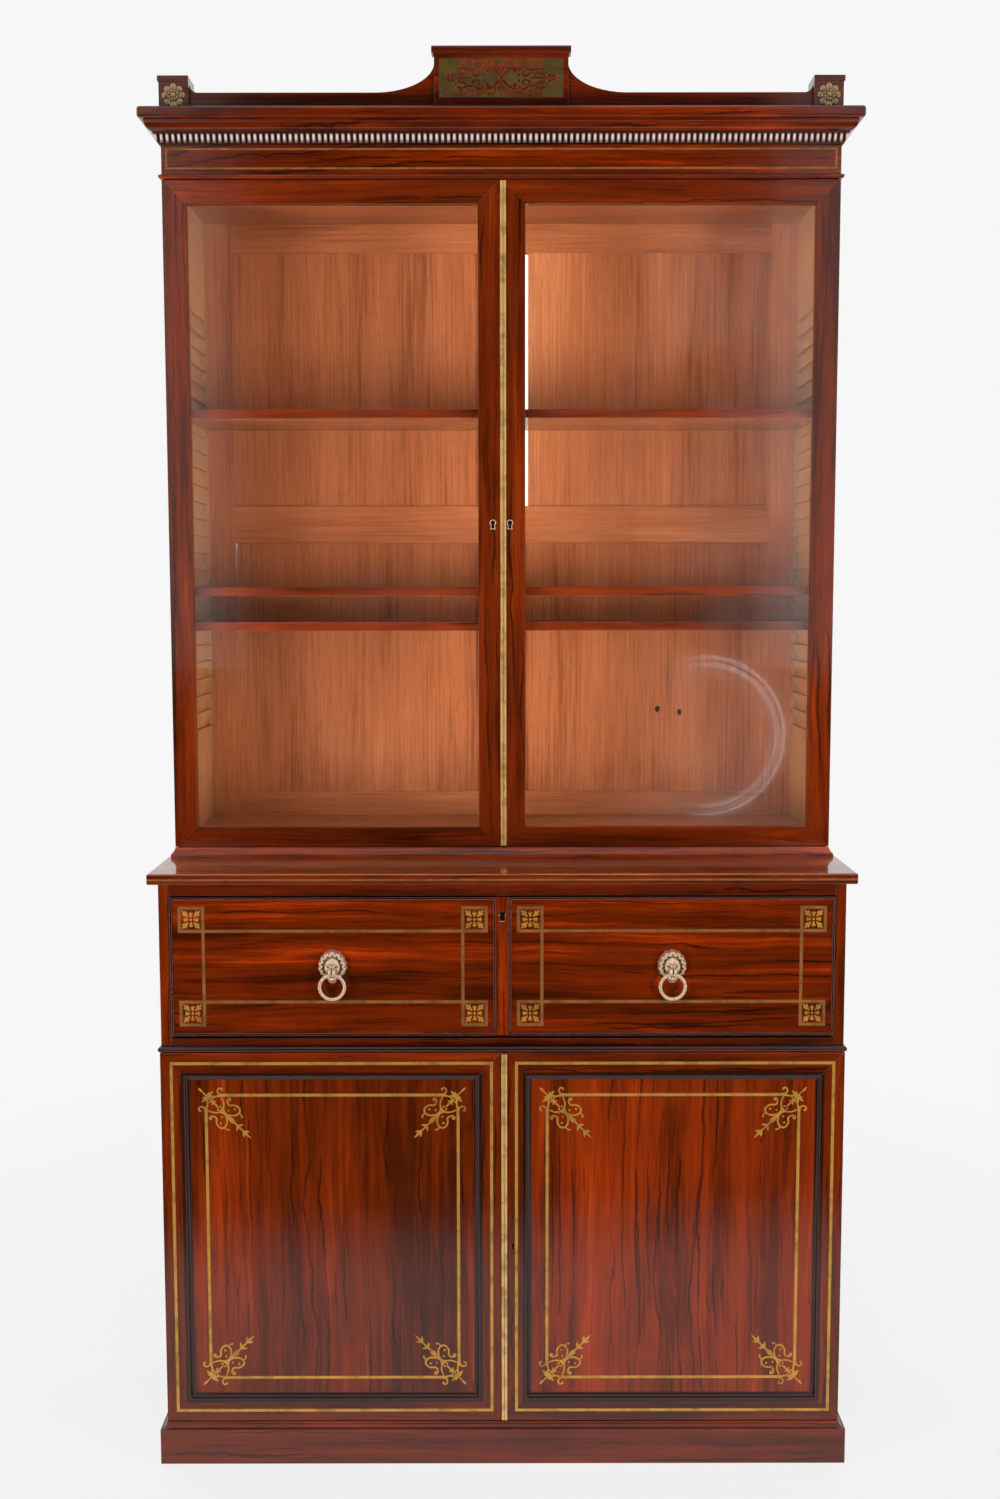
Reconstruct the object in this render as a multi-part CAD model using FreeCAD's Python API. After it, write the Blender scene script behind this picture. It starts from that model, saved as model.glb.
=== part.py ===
import FreeCAD, Part
import math
import os

os.makedirs("parts", exist_ok=True)

# A two-stage secretaire bookcase. Millimetres. +X is to the right, the front
# faces -Y, +Z is up. The origin is on the floor, at the middle of the whole.

# Widths and depths
lower_width = 1170.0
upper_side_inset = 2.0
lower_depth = 455.0
upper_set_back = 157.0
desk_overhang_front = 20.0
desk_overhang_side = 12.0
lower_side_thickness = 17.0
upper_side_thickness = 22.0
section_set_back = 13.0

# Heights, from the floor up
plinth_height = 59.0
plinth_moulding_height = 12.5
lower_door_height = 657.0
waist_thickness = 19.8
fall_height = 240.0
top_rail_height = 24.0
desk_thickness = 18.5
base_moulding_height = 17.5
upper_door_height = 1156.0
frieze_height = 56.0
bead_strip_height = 20.0
ovolo_height = 17.5
cornice_top_thickness = 19.0

# Clearances and gaps
door_gap = 1.5
door_back_gap = 0.8
meeting_gap = 0.7
fall_gap_below = 5.7
fall_gap_above = 3.0
fall_side_gap = 1.5
running_gap = 0.5
pin_clearance = 0.05
overrun = 1.0

# Boards
board_thickness = 22.0
plinth_thickness = 24.0
plinth_projection = 11.0
back_inset = 2.0
lower_back_thickness = 14.0
lower_back_board_count = 5
lower_back_board_gap = 0.5
top_rail_width = 60.0
kicker_width = 40.0

# Doors
door_thickness = 22.0
seam_x = -2.2
left_meeting_stile = 38.0
right_meeting_stile = 43.5
upper_outer_stile = 40.0
upper_top_rail = 40.0
upper_bottom_rail = 34.5
lower_outer_stile = 40.0
lower_top_rail = 41.0
lower_bottom_rail = 39.0
glass_set_back = 12.0
glass_thickness = 3.0
glass_rebate = 7.0
glass_edge_play = 0.5
panel_recess = 8.0
panel_thickness = 8.0
panel_tongue = 8.0
panel_groove_play = 1.0
panel_cove = 8.0
panel_hollow_radius = 7.0
astragal_width = 10.2
astragal_thickness = 4.0
astragal_groove_width = 3.0
astragal_groove_depth = 1.5
astragal_end_gap = 2.0

# Brass line inlay
string_width = 5.0
string_depth = 1.2
outer_string_inset = 16.0
left_meeting_string_inset = 13.5
right_meeting_string_inset = 23.5
inner_string_inset = 33.0
inner_string_corner_gap = 28.0
desk_string_height = 3.0
desk_string_drop = 8.5
frieze_string_width = 3.0
frieze_string_side_inset = 7.0
frieze_string_inset = 5.0
frieze_string_lower_inset = 16.0

# Hinges of the four doors
hinge_length = 64.0
hinge_axis_out = 1.0
barrel_radius = 3.2
barrel_relief = 0.4
hinge_pin_radius = 1.5
leaf_thickness = 1.4
leaf_width = 14.0
knuckle_gap = 0.4
upper_hinge_height_shares = (0.1, 0.5, 0.9)
lower_hinge_height_shares = (0.14, 0.86)

# Locks, bolts and keyholes
lock_length = 30.0
lock_height = 50.0
lock_thickness = 11.0
lock_edge_inset = 1.5
bolt_width = 14.0
bolt_thickness = 5.0
bolt_length = 22.0
bolt_throw = 9.0
bolt_play = 0.4
bolt_tip_inset = 0.8
strike_play = 1.0
keyhole_radius = 4.3
keyhole_foot_width = 6.0
keyhole_foot_drop = 10.0
keyhole_rim = 1.2
keyhole_pin_radius = 1.4
upper_lock_height_share = 0.495
left_keyhole_offset = 12.6
right_keyhole_offset = 16.7
lower_lock_height_share = 0.483
lower_keyhole_radius = 2.2
lower_keyhole_foot_width = 3.4
lower_keyhole_foot_drop = 8.0
lower_keyhole_offset = 20.2
flush_bolt_radius = 2.4
flush_bolt_length = 70.0
flush_bolt_travel = 9.0
flush_plate_thickness = 1.2
flush_plate_width = 10.0
flush_plate_length = 80.0
flush_thumb_width = 4.0
flush_thumb_height = 10.0
flush_thumb_drop = 40.0
flush_wall = 0.6

# Upper stage inside
groove_depth = 8.0
groove_height = 17.5
groove_pitch = 31.1
groove_count = 25
lowest_groove_height = 1258.4
grooves_below_shelves_count = (6, 8, 18)
shelf_thickness = 15.0
shelf_front_inset = 10.0
shelf_back_gap = 20.0
shelf_end_play = 1.0
back_frame_thickness = 20.0
back_stile_width = 49.0
back_top_rail = 53.0
back_middle_rail = 70.0
back_bottom_rail = 46.0
back_middle_rail_height = 1608.0
back_muntin_width = 90.0
back_panel_thickness = 8.0
back_panel_tongue = 8.0
back_panel_set_back = 5.0
back_panel_wide_split = 6.0
back_panel_narrow_split = 3.0
back_panel_split_share = 0.32

# Mouldings
necking_height = 7.0
necking_projection = 5.0
waist_bead_height = 9.0
waist_bead_projection = 3.0
base_moulding_projection = 7.0
bead_fillet_height = 2.5
bead_fillet_projection = 3.0
bead_row_height = 15.0
bead_foot_projection = 1.5
bead_head_projection = 8.0
bead_relief = 3.5
bead_web = 1.0
bead_pitch = 10.0
bead_cap_projection = 12.0
ovolo_foot_projection = 13.0
ovolo_head_projection = 23.5
ovolo_curve_height = 13.0
ovolo_swell_share = 0.17
cornice_fillet_projection = 24.5
cornice_projection = 34.0
cornice_nose_radius = 5.0

# Gallery on the cornice
gallery_height = 35.0
gallery_thickness = 18.0
gallery_set_back = 15.0
gallery_sweep_width = 102.0
gallery_sweep_rise = 50.0
gallery_end_sweep_width = 14.0
gallery_end_sweep_rise = 15.0
tablet_width = 230.0
tablet_body_height = 91.0
tablet_neck_height = 8.0
tablet_cap_height = 11.0
tablet_cap_projection = 4.5
tablet_set_back = 8.0
tablet_thickness = 25.0
tablet_plate_width = 212.0
tablet_plate_height = 64.0
tablet_plate_bottom = 25.0
tablet_plate_thickness = 1.5
block_width = 53.0
block_height = 60.0
block_cap_height = 9.0
block_cap_projection = 2.0
block_overhang = 5.0
block_set_back = 5.0
rosette_radius = 20.0
rosette_thickness = 3.0
rosette_petal_count = 8
rosette_petal_relief = 3.0
rosette_ring_radius = 11.0
rosette_ring_thickness = 6.0
rosette_button_radius = 5.0
rosette_button_height = 9.0
rosette_drop = 27.0

# Cupboard inside
cupboard_shelf_height = 400.0
cupboard_shelf_thickness = 16.0
cupboard_shelf_set_back = 20.0
bearer_size = 15.0

# Secretaire drawer and its fall front
fall_thickness = 18.0
drawer_base_thickness = 18.0
drawer_side_thickness = 12.0
drawer_side_play = 3.0
drawer_back_gap = 8.0
drawer_top_gap = 6.0
runner_width = 30.0
cove_relief = 0.5
pivot_plate_thickness = 3.0
pivot_plate_height = 8.0
pivot_plate_length = 60.0
pivot_plate_inset = 14.0
pivot_pin_radius = 2.0
pivot_pin_length = 12.0
pivot_slot_play = 0.4
centre_stile_width = 22.0
cockbead_width = 4.0
cockbead_projection = 2.0
cockbead_depth = 3.0
cockbead_corner_radius = 7.0
square_size = 45.0
square_inset_side = 14.0
square_inset_end = 16.0
fall_keyhole_drop = 31.0
fall_lock_length = 44.0
leather_thickness = 1.0
leather_side_inset = 40.0
leather_lower_inset = 32.0
leather_upper_inset = 68.0

# Lion masks and their rings
mask_x = 289.5
mask_height = 120.0
mask_half_width = 25.0
mask_half_height = 30.0
mask_relief = 10.0
mask_rim_thickness = 4.0
mask_crown_share = 0.72
snout_half_width = 8.0
snout_half_height = 9.5
snout_depth = 24.0
snout_tip_share = 0.75
mouth_drop = 11.0
mouth_depth = 15.5
mouth_radius = 4.6
ring_radius = 21.1
ring_thickness_radius = 2.9
mask_post_radius = 3.0
mask_nut_width = 10.0
mask_nut_thickness = 5.0
mask_nut_pocket_depth = 7.0
mask_nut_pocket_radius = 8.0

# Pigeonholes and small drawers in the secretaire
pigeonhole_set_back = 170.0
pigeonhole_half_width = 540.0
pigeonhole_height = 196.0
pigeonhole_board = 8.0
pigeonhole_lift = 0.5
divider_shares = (0.18, 0.54)
small_drawer_height = 70.0
small_drawer_play = 1.0
small_drawer_front = 9.0
small_drawer_side = 6.0
small_drawer_base = 4.0
small_knob_radius = 6.0
small_knob_length = 14.0
small_knob_neck_radius = 3.0
small_knob_neck_length = 6.0

# Places worked out from the sizes above
half_lower = lower_width / 2
half_upper = half_lower - upper_side_inset
back_y = (lower_depth + desk_overhang_front) / 2
lower_front = back_y - lower_depth
upper_front = lower_front + upper_set_back
lower_case_front = lower_front + door_thickness + door_back_gap
upper_case_front = upper_front + door_thickness + door_back_gap
section_front = lower_front + section_set_back
lower_inner = half_lower - lower_side_thickness
lock_front_cover = door_thickness - lock_thickness
upper_inner = half_upper - upper_side_thickness
lower_sill = plinth_height + plinth_moulding_height
lower_door_bottom = lower_sill + door_gap
lower_door_top = lower_door_bottom + lower_door_height
waist_bottom = lower_door_top + door_gap
waist_top = waist_bottom + waist_thickness
fall_bottom = waist_top + fall_gap_below
fall_top = fall_bottom + fall_height
rail_bottom = fall_top + fall_gap_above
desk_bottom = rail_bottom + top_rail_height
desk_top_height = desk_bottom + desk_thickness
upper_sill = desk_top_height + base_moulding_height
upper_door_bottom = upper_sill + door_gap
upper_door_top = upper_door_bottom + upper_door_height
frieze_bottom = upper_door_top + door_gap
frieze_top = frieze_bottom + frieze_height
ovolo_bottom = frieze_top + bead_strip_height
cornice_top_bottom = ovolo_bottom + ovolo_height
cornice_top_height = cornice_top_bottom + cornice_top_thickness
lower_back_front = back_y - back_inset - lower_back_thickness
upper_back_front = back_y - back_inset - back_frame_thickness
upper_floor = upper_sill - door_gap + board_thickness
upper_ceiling = upper_door_top - door_gap - board_thickness / 2
right_door_edge = seam_x
left_door_edge = seam_x - meeting_gap
fall_back = section_front + fall_thickness
pivot_y = section_front + fall_thickness / 2
pivot_z = fall_bottom + fall_thickness / 2
writing_level = fall_bottom + drawer_base_thickness
drawer_end = lower_back_front - drawer_back_gap
drawer_half = lower_inner - drawer_side_play
drawer_top = rail_bottom - drawer_top_gap
fall_half = lower_inner - fall_side_gap
mask_z = fall_bottom + mask_height
mouth_y = section_front - mouth_depth
mouth_z = mask_z - mouth_drop
pigeonhole_front = fall_back + pigeonhole_set_back
pigeonhole_back = drawer_end - drawer_side_thickness
pigeonhole_bottom = writing_level + pigeonhole_lift
pigeonhole_top = pigeonhole_bottom + pigeonhole_height

AXIS_X = FreeCAD.Vector(1, 0, 0)
AXIS_Y = FreeCAD.Vector(0, 1, 0)
AXIS_Z = FreeCAD.Vector(0, 0, 1)


def point(x, y, z):
    return FreeCAD.Vector(x, y, z)


def box(x0, x1, y0, y1, z0, z1):
    return Part.makeBox(x1 - x0, y1 - y0, z1 - z0, point(x0, y0, z0))


def rod(centre, radius, length, direction):
    start = centre - direction * (length / 2)
    return Part.makeCylinder(radius, length, start, direction)


def flip(shape):
    """The same shape on the other side of the middle."""
    return shape.mirror(point(0, 0, 0), AXIS_X)


def pair(shape):
    return [shape, flip(shape)]


def cut_each(solids, tools):
    return [solid.cut(tools) for solid in solids]


def prism_xz(outline, y0, y1):
    points = [point(x, y0, z) for x, z in outline]
    face = Part.Face(Part.makePolygon(points + points[:1]))
    return face.extrude(AXIS_Y * (y1 - y0))


def prism_xy(outline, z0, z1):
    points = [point(x, y, z0) for x, y in outline]
    face = Part.Face(Part.makePolygon(points + points[:1]))
    return face.extrude(AXIS_Z * (z1 - z0))


def prism_yz(outline, x0, x1):
    points = [point(x0, y, z) for y, z in outline]
    face = Part.Face(Part.makePolygon(points + points[:1]))
    return face.extrude(AXIS_X * (x1 - x0))


def save(name, solids):
    shape = solids[0] if len(solids) == 1 else Part.makeCompound(solids)
    shape.exportStep("parts/" + name + ".step")
    print(name, len(shape.Solids), shape.isValid())


# Frames of four mitred members, seen from the front

def mitred_frame(x0, x1, z0, z1, widths, y0, y1):
    """Left, right, bottom and top members; widths in that order."""
    left, right, bottom, top = widths
    outer = [(x0, z0), (x1, z0), (x1, z1), (x0, z1)]
    inner = [(x0 + left, z0 + bottom), (x1 - right, z0 + bottom)]
    inner += [(x1 - right, z1 - top), (x0 + left, z1 - top)]
    sides = ((0, 3), (1, 2), (0, 1), (3, 2))
    members = []
    for first, second in sides:
        outline = [outer[first], outer[second], inner[second], inner[first]]
        members.append(prism_xz(outline, y0, y1))
    return members


def even_frame(x0, x1, z0, z1, width, y0, y1):
    return mitred_frame(x0, x1, z0, z1, (width,) * 4, y0, y1)


def closed_line(x0, x1, z0, z1, width, y0, y1):
    """A rectangle of inlaid line as one piece."""
    outer = box(x0, x1, y0, y1, z0, z1)
    inner = box(x0 + width, x1 - width, y0 - overrun, y1 + overrun, z0 + width, z1 - width)
    return outer.cut(inner)


# Mouldings that run round the front and both sides

def profile_face(start, steps, height, backing, place):
    """The section of a moulding: distance out from the case, and height."""
    edges = []
    here = start
    for step in steps:
        end = step[-2:]
        if len(step) == 2:
            edges.append(Part.makeLine(place(*here), place(*end)))
        else:
            edges.append(Part.Arc(place(*here), place(*step[:2]), place(*end)).toShape())
        here = end
    corners = [here, (-backing, height), (-backing, start[1]), start]
    for first, second in zip(corners, corners[1:]):
        if first != second:
            edges.append(Part.makeLine(place(*first), place(*second)))
    return Part.Face(Part.Wire(edges))


def mitre_cuts(reach, bottom, height, half, front, backing):
    """What the front run and the side run of a moulding lose at the right corner."""
    far = half + reach + overrun
    behind = front + backing + overrun
    low = bottom - overrun
    high = bottom + height + overrun
    corner = [(half, front), (half + reach, front - reach), (far, front - reach)]
    corner += [(far, behind), (half, behind)]
    mitre = [(half, front), (half + reach, front - reach), (half, front - reach)]
    return prism_xy(corner, low, high), prism_xy(mitre, low, high)


def moulding_runs(start, steps, bottom, height, half, front, backing):
    reach = max([start[0]] + [step[0] for step in steps] + [step[-2] for step in steps])
    end_cut, side_cut = mitre_cuts(reach, bottom, height, half, front, backing)
    face = profile_face(start, steps, height, backing,
                        lambda p, z: point(-half - reach, front - p, bottom + z))
    front_run = face.extrude(AXIS_X * (2 * (half + reach))).cut(pair(end_cut))
    face = profile_face(start, steps, height, 0,
                        lambda p, z: point(half + p, front - reach, bottom + z))
    side_run = face.extrude(AXIS_Y * (back_y - front + reach)).cut(side_cut)
    return [front_run] + pair(side_run)


def plain_band(bottom, height, projection, half, front, backing):
    return moulding_runs((projection, 0), [(projection, height)], bottom, height, half, front, backing)


# Lower stage: the case

def plinth_frame():
    half = half_lower + plinth_projection
    front = lower_front - plinth_projection
    inside = half - plinth_thickness
    y_in = front + plinth_thickness
    front_outline = [(-half, front), (half, front), (inside, y_in), (-inside, y_in)]
    side_outline = [(half, front), (half, back_y), (inside, back_y), (inside, y_in)]
    front_board = prism_xy(front_outline, 0, plinth_height)
    side_board = prism_xy(side_outline, 0, plinth_height)
    back_board = box(-inside, inside, back_y - plinth_thickness, back_y, 0, plinth_height)
    return [front_board, back_board] + pair(side_board)


def plinth_moulding():
    fillet = plinth_moulding_height / 4
    top = plinth_projection / 8
    hollow = (plinth_projection / 3, plinth_moulding_height / 2)
    steps = [(plinth_projection, fillet), hollow + (top, plinth_moulding_height)]
    return moulding_runs((plinth_projection, 0), steps, plinth_height, plinth_moulding_height,
                         half_lower, lower_front, door_thickness + door_back_gap)


def lower_side():
    outline = [(lower_case_front, plinth_height), (lower_case_front, waist_bottom)]
    outline += [(section_front, waist_bottom), (section_front, desk_bottom)]
    outline += [(back_y, desk_bottom), (back_y, plinth_height)]
    side = prism_yz(outline, lower_inner, half_lower)
    cuts = fixed_leaf_cuts(lower_hinge_heights(), half_lower, lower_front)
    return side.cut(cuts)


def lower_bottom_board():
    return [box(-lower_inner, lower_inner, lower_case_front, lower_back_front,
                plinth_height, plinth_height + board_thickness)]


def waist_board():
    board = box(-lower_inner, lower_inner, section_front, lower_back_front, waist_bottom, waist_top)
    return [board.cut(flush_bolt_strike(left_door_edge, lower_front + lower_bolt_y(), waist_bottom))]


def waist_bead():
    nose = (waist_bead_projection, waist_bead_height / 2)
    return moulding_runs((0, 0), [nose + (0, waist_bead_height)], waist_bottom, waist_bead_height,
                         half_lower, lower_front, section_set_back)


def top_rails():
    front_rail = box(-lower_inner, lower_inner, section_front, section_front + top_rail_width,
                     rail_bottom, desk_bottom)
    strike = fall_bolt_box(strike_play, rail_bottom - overrun, rail_bottom + bolt_throw + strike_play)
    back_rail = box(-lower_inner, lower_inner, lower_back_front - top_rail_width, lower_back_front,
                    rail_bottom, desk_bottom)
    return [front_rail.cut(strike), back_rail]


def drawer_guides():
    kicker = box(lower_inner - kicker_width, lower_inner, section_front + top_rail_width,
                 lower_back_front - top_rail_width, rail_bottom, desk_bottom)
    runner = box(lower_inner - runner_width, lower_inner, fall_back + fall_thickness,
                 lower_back_front, waist_top, fall_bottom - running_gap)
    return pair(kicker) + pair(runner)


def desk_line():
    half = half_lower + desk_overhang_side
    front = lower_front - desk_overhang_front
    top = desk_top_height - desk_string_drop
    bottom = top - desk_string_height
    outer = box(-half, half, front, back_y, bottom, top)
    inner = box(string_depth - half, half - string_depth, front + string_depth, back_y + overrun,
                bottom - overrun, top + overrun)
    return outer.cut(inner)


def desk_top():
    half = half_lower + desk_overhang_side
    front = lower_front - desk_overhang_front
    slab = box(-half, half, front, back_y, desk_bottom, desk_top_height)
    edges = [edge for edge in slab.Edges if is_show_edge(edge, front, half)]
    return [slab.makeFillet(desk_thickness / 6, edges).cut(desk_line())]


def is_show_edge(edge, front, half):
    """The long edges of a slab that run along its front and its two ends."""
    centre = edge.CenterOfMass
    along_front = abs(centre.y - front) < overrun and abs(centre.x) < overrun
    along_end = abs(abs(centre.x) - half) < overrun and abs(centre.y) < back_y / 2
    return along_front or along_end


def lower_back():
    gaps = lower_back_board_gap * (lower_back_board_count - 1)
    width = (2 * lower_inner - gaps) / lower_back_board_count
    boards = []
    for index in range(lower_back_board_count):
        x = -lower_inner + index * (width + lower_back_board_gap)
        boards.append(box(x, x + width, lower_back_front, back_y - back_inset,
                          plinth_height, desk_bottom))
    return boards


def cupboard_shelf():
    front = lower_case_front + cupboard_shelf_set_back
    shelf = box(-lower_inner, lower_inner, front, lower_back_front,
                cupboard_shelf_height, cupboard_shelf_height + cupboard_shelf_thickness)
    bearer = box(lower_inner - bearer_size, lower_inner, front, lower_back_front,
                 cupboard_shelf_height - bearer_size, cupboard_shelf_height)
    return [shelf] + pair(bearer)


# Hinges: each has a leaf on the case, a leaf on the door and a pin

def lower_hinge_heights():
    return [lower_door_bottom + share * lower_door_height for share in lower_hinge_height_shares]


def upper_hinge_heights():
    return [upper_door_bottom + share * upper_door_height for share in upper_hinge_height_shares]


def hinge_axis(half, front):
    return half + hinge_axis_out, front + door_thickness + door_back_gap / 2


def leaf_plate(height, half, y0, y1):
    edge = half + hinge_axis_out
    return box(edge - leaf_width, edge, y0, y1, height - hinge_length / 2, height + hinge_length / 2)


def case_leaf_plate(height, half, front):
    y0 = front + door_thickness + door_back_gap
    return leaf_plate(height, half, y0, y0 + leaf_thickness)


def door_leaf_plate(height, half, front):
    y1 = front + door_thickness
    return leaf_plate(height, half, y1 - leaf_thickness, y1)


def barrel_space(height, half, front):
    x, y = hinge_axis(half, front)
    length = hinge_length + 2 * knuckle_gap
    return rod(point(x, y, height), barrel_radius + barrel_relief, length, AXIS_Z)


def fixed_leaf_cuts(heights, half, front):
    cuts = []
    for height in heights:
        cuts += [case_leaf_plate(height, half, front), barrel_space(height, half, front)]
    return cuts


def door_leaf_cuts(heights, half, front):
    cuts = []
    for height in heights:
        cuts += [door_leaf_plate(height, half, front), barrel_space(height, half, front)]
    return cuts


def case_leaf(height, half, front):
    """The fixed leaf, with a knuckle at each end, and the pin."""
    x, y = hinge_axis(half, front)
    third = hinge_length / 3
    barrel = rod(point(x, y, height), barrel_radius, hinge_length, AXIS_Z)
    middle = rod(point(x, y, height), barrel_radius + barrel_relief, third + 2 * knuckle_gap, AXIS_Z)
    bore = rod(point(x, y, height), hinge_pin_radius, hinge_length, AXIS_Z)
    leaf = case_leaf_plate(height, half, front).fuse(barrel).cut([middle, bore])
    pin = rod(point(x, y, height), hinge_pin_radius, hinge_length, AXIS_Z)
    return [leaf, pin]


def door_leaf(height, half, front):
    """The moving leaf, with one knuckle in the middle."""
    x, y = hinge_axis(half, front)
    third = hinge_length / 3
    barrel = rod(point(x, y, height), barrel_radius, third, AXIS_Z)
    plate = door_leaf_plate(height, half, front)
    for end in (-1, 1):
        centre = point(x, y, height + end * (third + knuckle_gap))
        plate = plate.cut(rod(centre, barrel_radius + barrel_relief, third + 3 * knuckle_gap, AXIS_Z))
    bore = rod(point(x, y, height), hinge_pin_radius + pin_clearance, hinge_length, AXIS_Z)
    return plate.fuse(barrel).cut(bore)


# Keyholes, locks and bolts

def keyhole_prism(x, z, radius, foot_width, foot_drop, y0, y1):
    """A round hole with a foot that widens a little downwards."""
    round_part = rod(point(x, (y0 + y1) / 2, z), radius, y1 - y0, AXIS_Y)
    top = foot_width * 0.36
    bottom = foot_width / 2
    low = z - foot_drop
    foot = prism_xz([(x - bottom, low), (x + bottom, low), (x + top, z), (x - top, z)], y0, y1)
    return round_part.fuse(foot).removeSplitter()


def big_keyhole(x, z, y0, y1):
    return keyhole_prism(x, z, keyhole_radius, keyhole_foot_width, keyhole_foot_drop, y0, y1)


def escutcheon_space(x, z, y0, y1):
    foot = keyhole_foot_width + 2 * keyhole_rim
    drop = keyhole_foot_drop + keyhole_rim
    return keyhole_prism(x, z, keyhole_radius + keyhole_rim, foot, drop, y0, y1)


def escutcheon(x, z, front):
    back = front + string_depth * 2
    return escutcheon_space(x, z, front, back).cut(big_keyhole(x, z, front - overrun, back + overrun))


def door_lock(x0, z, front):
    """A let-in lock, its key pin, and the slot that its bolt slides in."""
    y0 = front + lock_front_cover
    case = box(x0, x0 + lock_length, y0, y0 + lock_thickness, z - lock_height / 2, z + lock_height / 2)
    return case.cut(door_bolt(x0, z, front, bolt_play))


def door_bolt(x0, z, front, play):
    y = front + lock_front_cover + lock_thickness / 2
    half_y = bolt_thickness / 2 + play
    half_z = bolt_width / 2 + play
    start = x0 - lock_edge_inset + bolt_tip_inset - (overrun if play else 0)
    return box(start, x0 + bolt_length + play, y - half_y, y + half_y, z - half_z, z + half_z)


def door_lock_space(x0, z, front):
    y0 = front + lock_front_cover
    pocket = box(x0, x0 + lock_length, y0, front + door_thickness + overrun,
                 z - lock_height / 2, z + lock_height / 2)
    return [pocket, door_bolt(x0, z, front, bolt_play)]


def door_strike(z, front):
    """The mortise in the left door that the right door's bolt enters."""
    y = front + lock_front_cover + lock_thickness / 2
    half_y = bolt_thickness / 2 + strike_play
    half_z = bolt_width / 2 + strike_play
    depth = bolt_throw + strike_play
    return box(left_door_edge - depth, left_door_edge + overrun,
               y - half_y, y + half_y, z - half_z, z + half_z)


def flush_bolt_centre(edge, y):
    return edge - flush_plate_thickness - flush_wall - flush_bolt_radius, y


def flush_bolt(edge, y, top):
    x, y = flush_bolt_centre(edge, y)
    middle = top - bolt_tip_inset - flush_bolt_length / 2
    shaft = rod(point(x, y, middle), flush_bolt_radius, flush_bolt_length, AXIS_Z)
    z = top - flush_thumb_drop
    thumb = box(x, edge, y - flush_thumb_width / 2, y + flush_thumb_width / 2,
                z - flush_thumb_height / 2, z + flush_thumb_height / 2)
    return [shaft.fuse(thumb).removeSplitter()]


def flush_bolt_plate_blank(edge, y, top):
    return box(edge - flush_plate_thickness, edge, y - flush_plate_width / 2, y + flush_plate_width / 2,
               top - flush_plate_length, top)


def flush_thumb_slot(edge, y, top):
    x, y = flush_bolt_centre(edge, y)
    half = flush_thumb_width / 2 + bolt_play
    z0 = top - flush_thumb_drop - flush_thumb_height / 2 - bolt_play
    z1 = z0 + flush_thumb_height + flush_bolt_travel + 2 * bolt_play
    return box(x, edge + overrun, y - half, y + half, z0, z1)


def flush_bolt_plate(edge, y, top):
    return flush_bolt_plate_blank(edge, y, top).cut(flush_thumb_slot(edge, y, top))


def flush_bolt_bore(edge, y, top):
    x, y = flush_bolt_centre(edge, y)
    length = flush_bolt_length + 2 * bolt_tip_inset
    return rod(point(x, y, top - length / 2), flush_bolt_radius + bolt_play, length + overrun, AXIS_Z)


def flush_bolt_space(edge, y, top):
    plate = flush_bolt_plate_blank(edge, y, top)
    return [flush_bolt_bore(edge, y, top), flush_thumb_slot(edge, y, top), plate]


def flush_bolt_strike(edge, y, underside):
    x, y = flush_bolt_centre(edge, y)
    depth = flush_bolt_travel + strike_play
    centre = point(x, y, underside + depth / 2)
    return rod(centre, flush_bolt_radius + strike_play, depth + overrun, AXIS_Z)


def lower_bolt_y():
    """The lower door's bolt runs close behind the door's middle, under the waist board."""
    return section_set_back + flush_bolt_radius + strike_play + flush_wall


def upper_bolt_y():
    return door_thickness / 2


# Lower doors

def lower_lock_z():
    return lower_door_bottom + lower_lock_height_share * lower_door_height


def lower_door_opening(x0, x1):
    if x1 > 0:
        left, right = right_meeting_stile, lower_outer_stile
    else:
        left, right = lower_outer_stile, left_meeting_stile
    return x0 + left, x1 - right, lower_door_bottom + lower_bottom_rail, lower_door_top - lower_top_rail


def lower_panel_box(x0, x1, tongue, play):
    ox0, ox1, oz0, oz1 = lower_door_opening(x0, x1)
    edge = tongue + play
    y0 = lower_front + panel_recess
    return box(ox0 - edge, ox1 + edge, y0, y0 + panel_thickness, oz0 - edge, oz1 + edge)


def panel_moulding(opening):
    """A hollow strip inside the frame, down to the face of the panel."""
    ox0, ox1, oz0, oz1 = opening
    strips = even_frame(ox0, ox1, oz0, oz1, panel_cove, lower_front, lower_front + panel_recess)
    middle_x = (ox0 + ox1) / 2
    middle_z = (oz0 + oz1) / 2
    width = ox1 - ox0 + 2 * overrun
    height = oz1 - oz0 + 2 * overrun
    hollows = []
    for x in (ox0 + panel_cove, ox1 - panel_cove):
        hollows.append(rod(point(x, lower_front, middle_z), panel_hollow_radius, height, AXIS_Z))
    for z in (oz0 + panel_cove, oz1 - panel_cove):
        hollows.append(rod(point(middle_x, lower_front, z), panel_hollow_radius, width, AXIS_X))
    return [strip.cut(hollow) for strip, hollow in zip(strips, hollows)]


def lower_outer_line(x0, x1):
    inset = outer_string_inset
    if x1 > 0:
        left, right = right_meeting_string_inset, inset
    else:
        left, right = inset, left_meeting_string_inset
    return closed_line(x0 + left, x1 - right, lower_door_bottom + inset, lower_door_top - inset,
                       string_width, lower_front, lower_front + string_depth)


def lower_inner_lines(x0, x1):
    """Four lines that stop short of the ornaments in the panel's corners."""
    ox0, ox1, oz0, oz1 = lower_door_opening(x0, x1)
    left, right = ox0 + inner_string_inset, ox1 - inner_string_inset
    bottom, top = oz0 + inner_string_inset, oz1 - inner_string_inset
    y0 = lower_front + panel_recess
    y1 = y0 + string_depth
    gap = inner_string_corner_gap
    lines = []
    for z in (bottom, top - string_width):
        lines.append(box(left + gap, right - gap, y0, y1, z, z + string_width))
    for x in (left, right - string_width):
        lines.append(box(x, x + string_width, y0, y1, bottom + gap, top - gap))
    return lines


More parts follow.
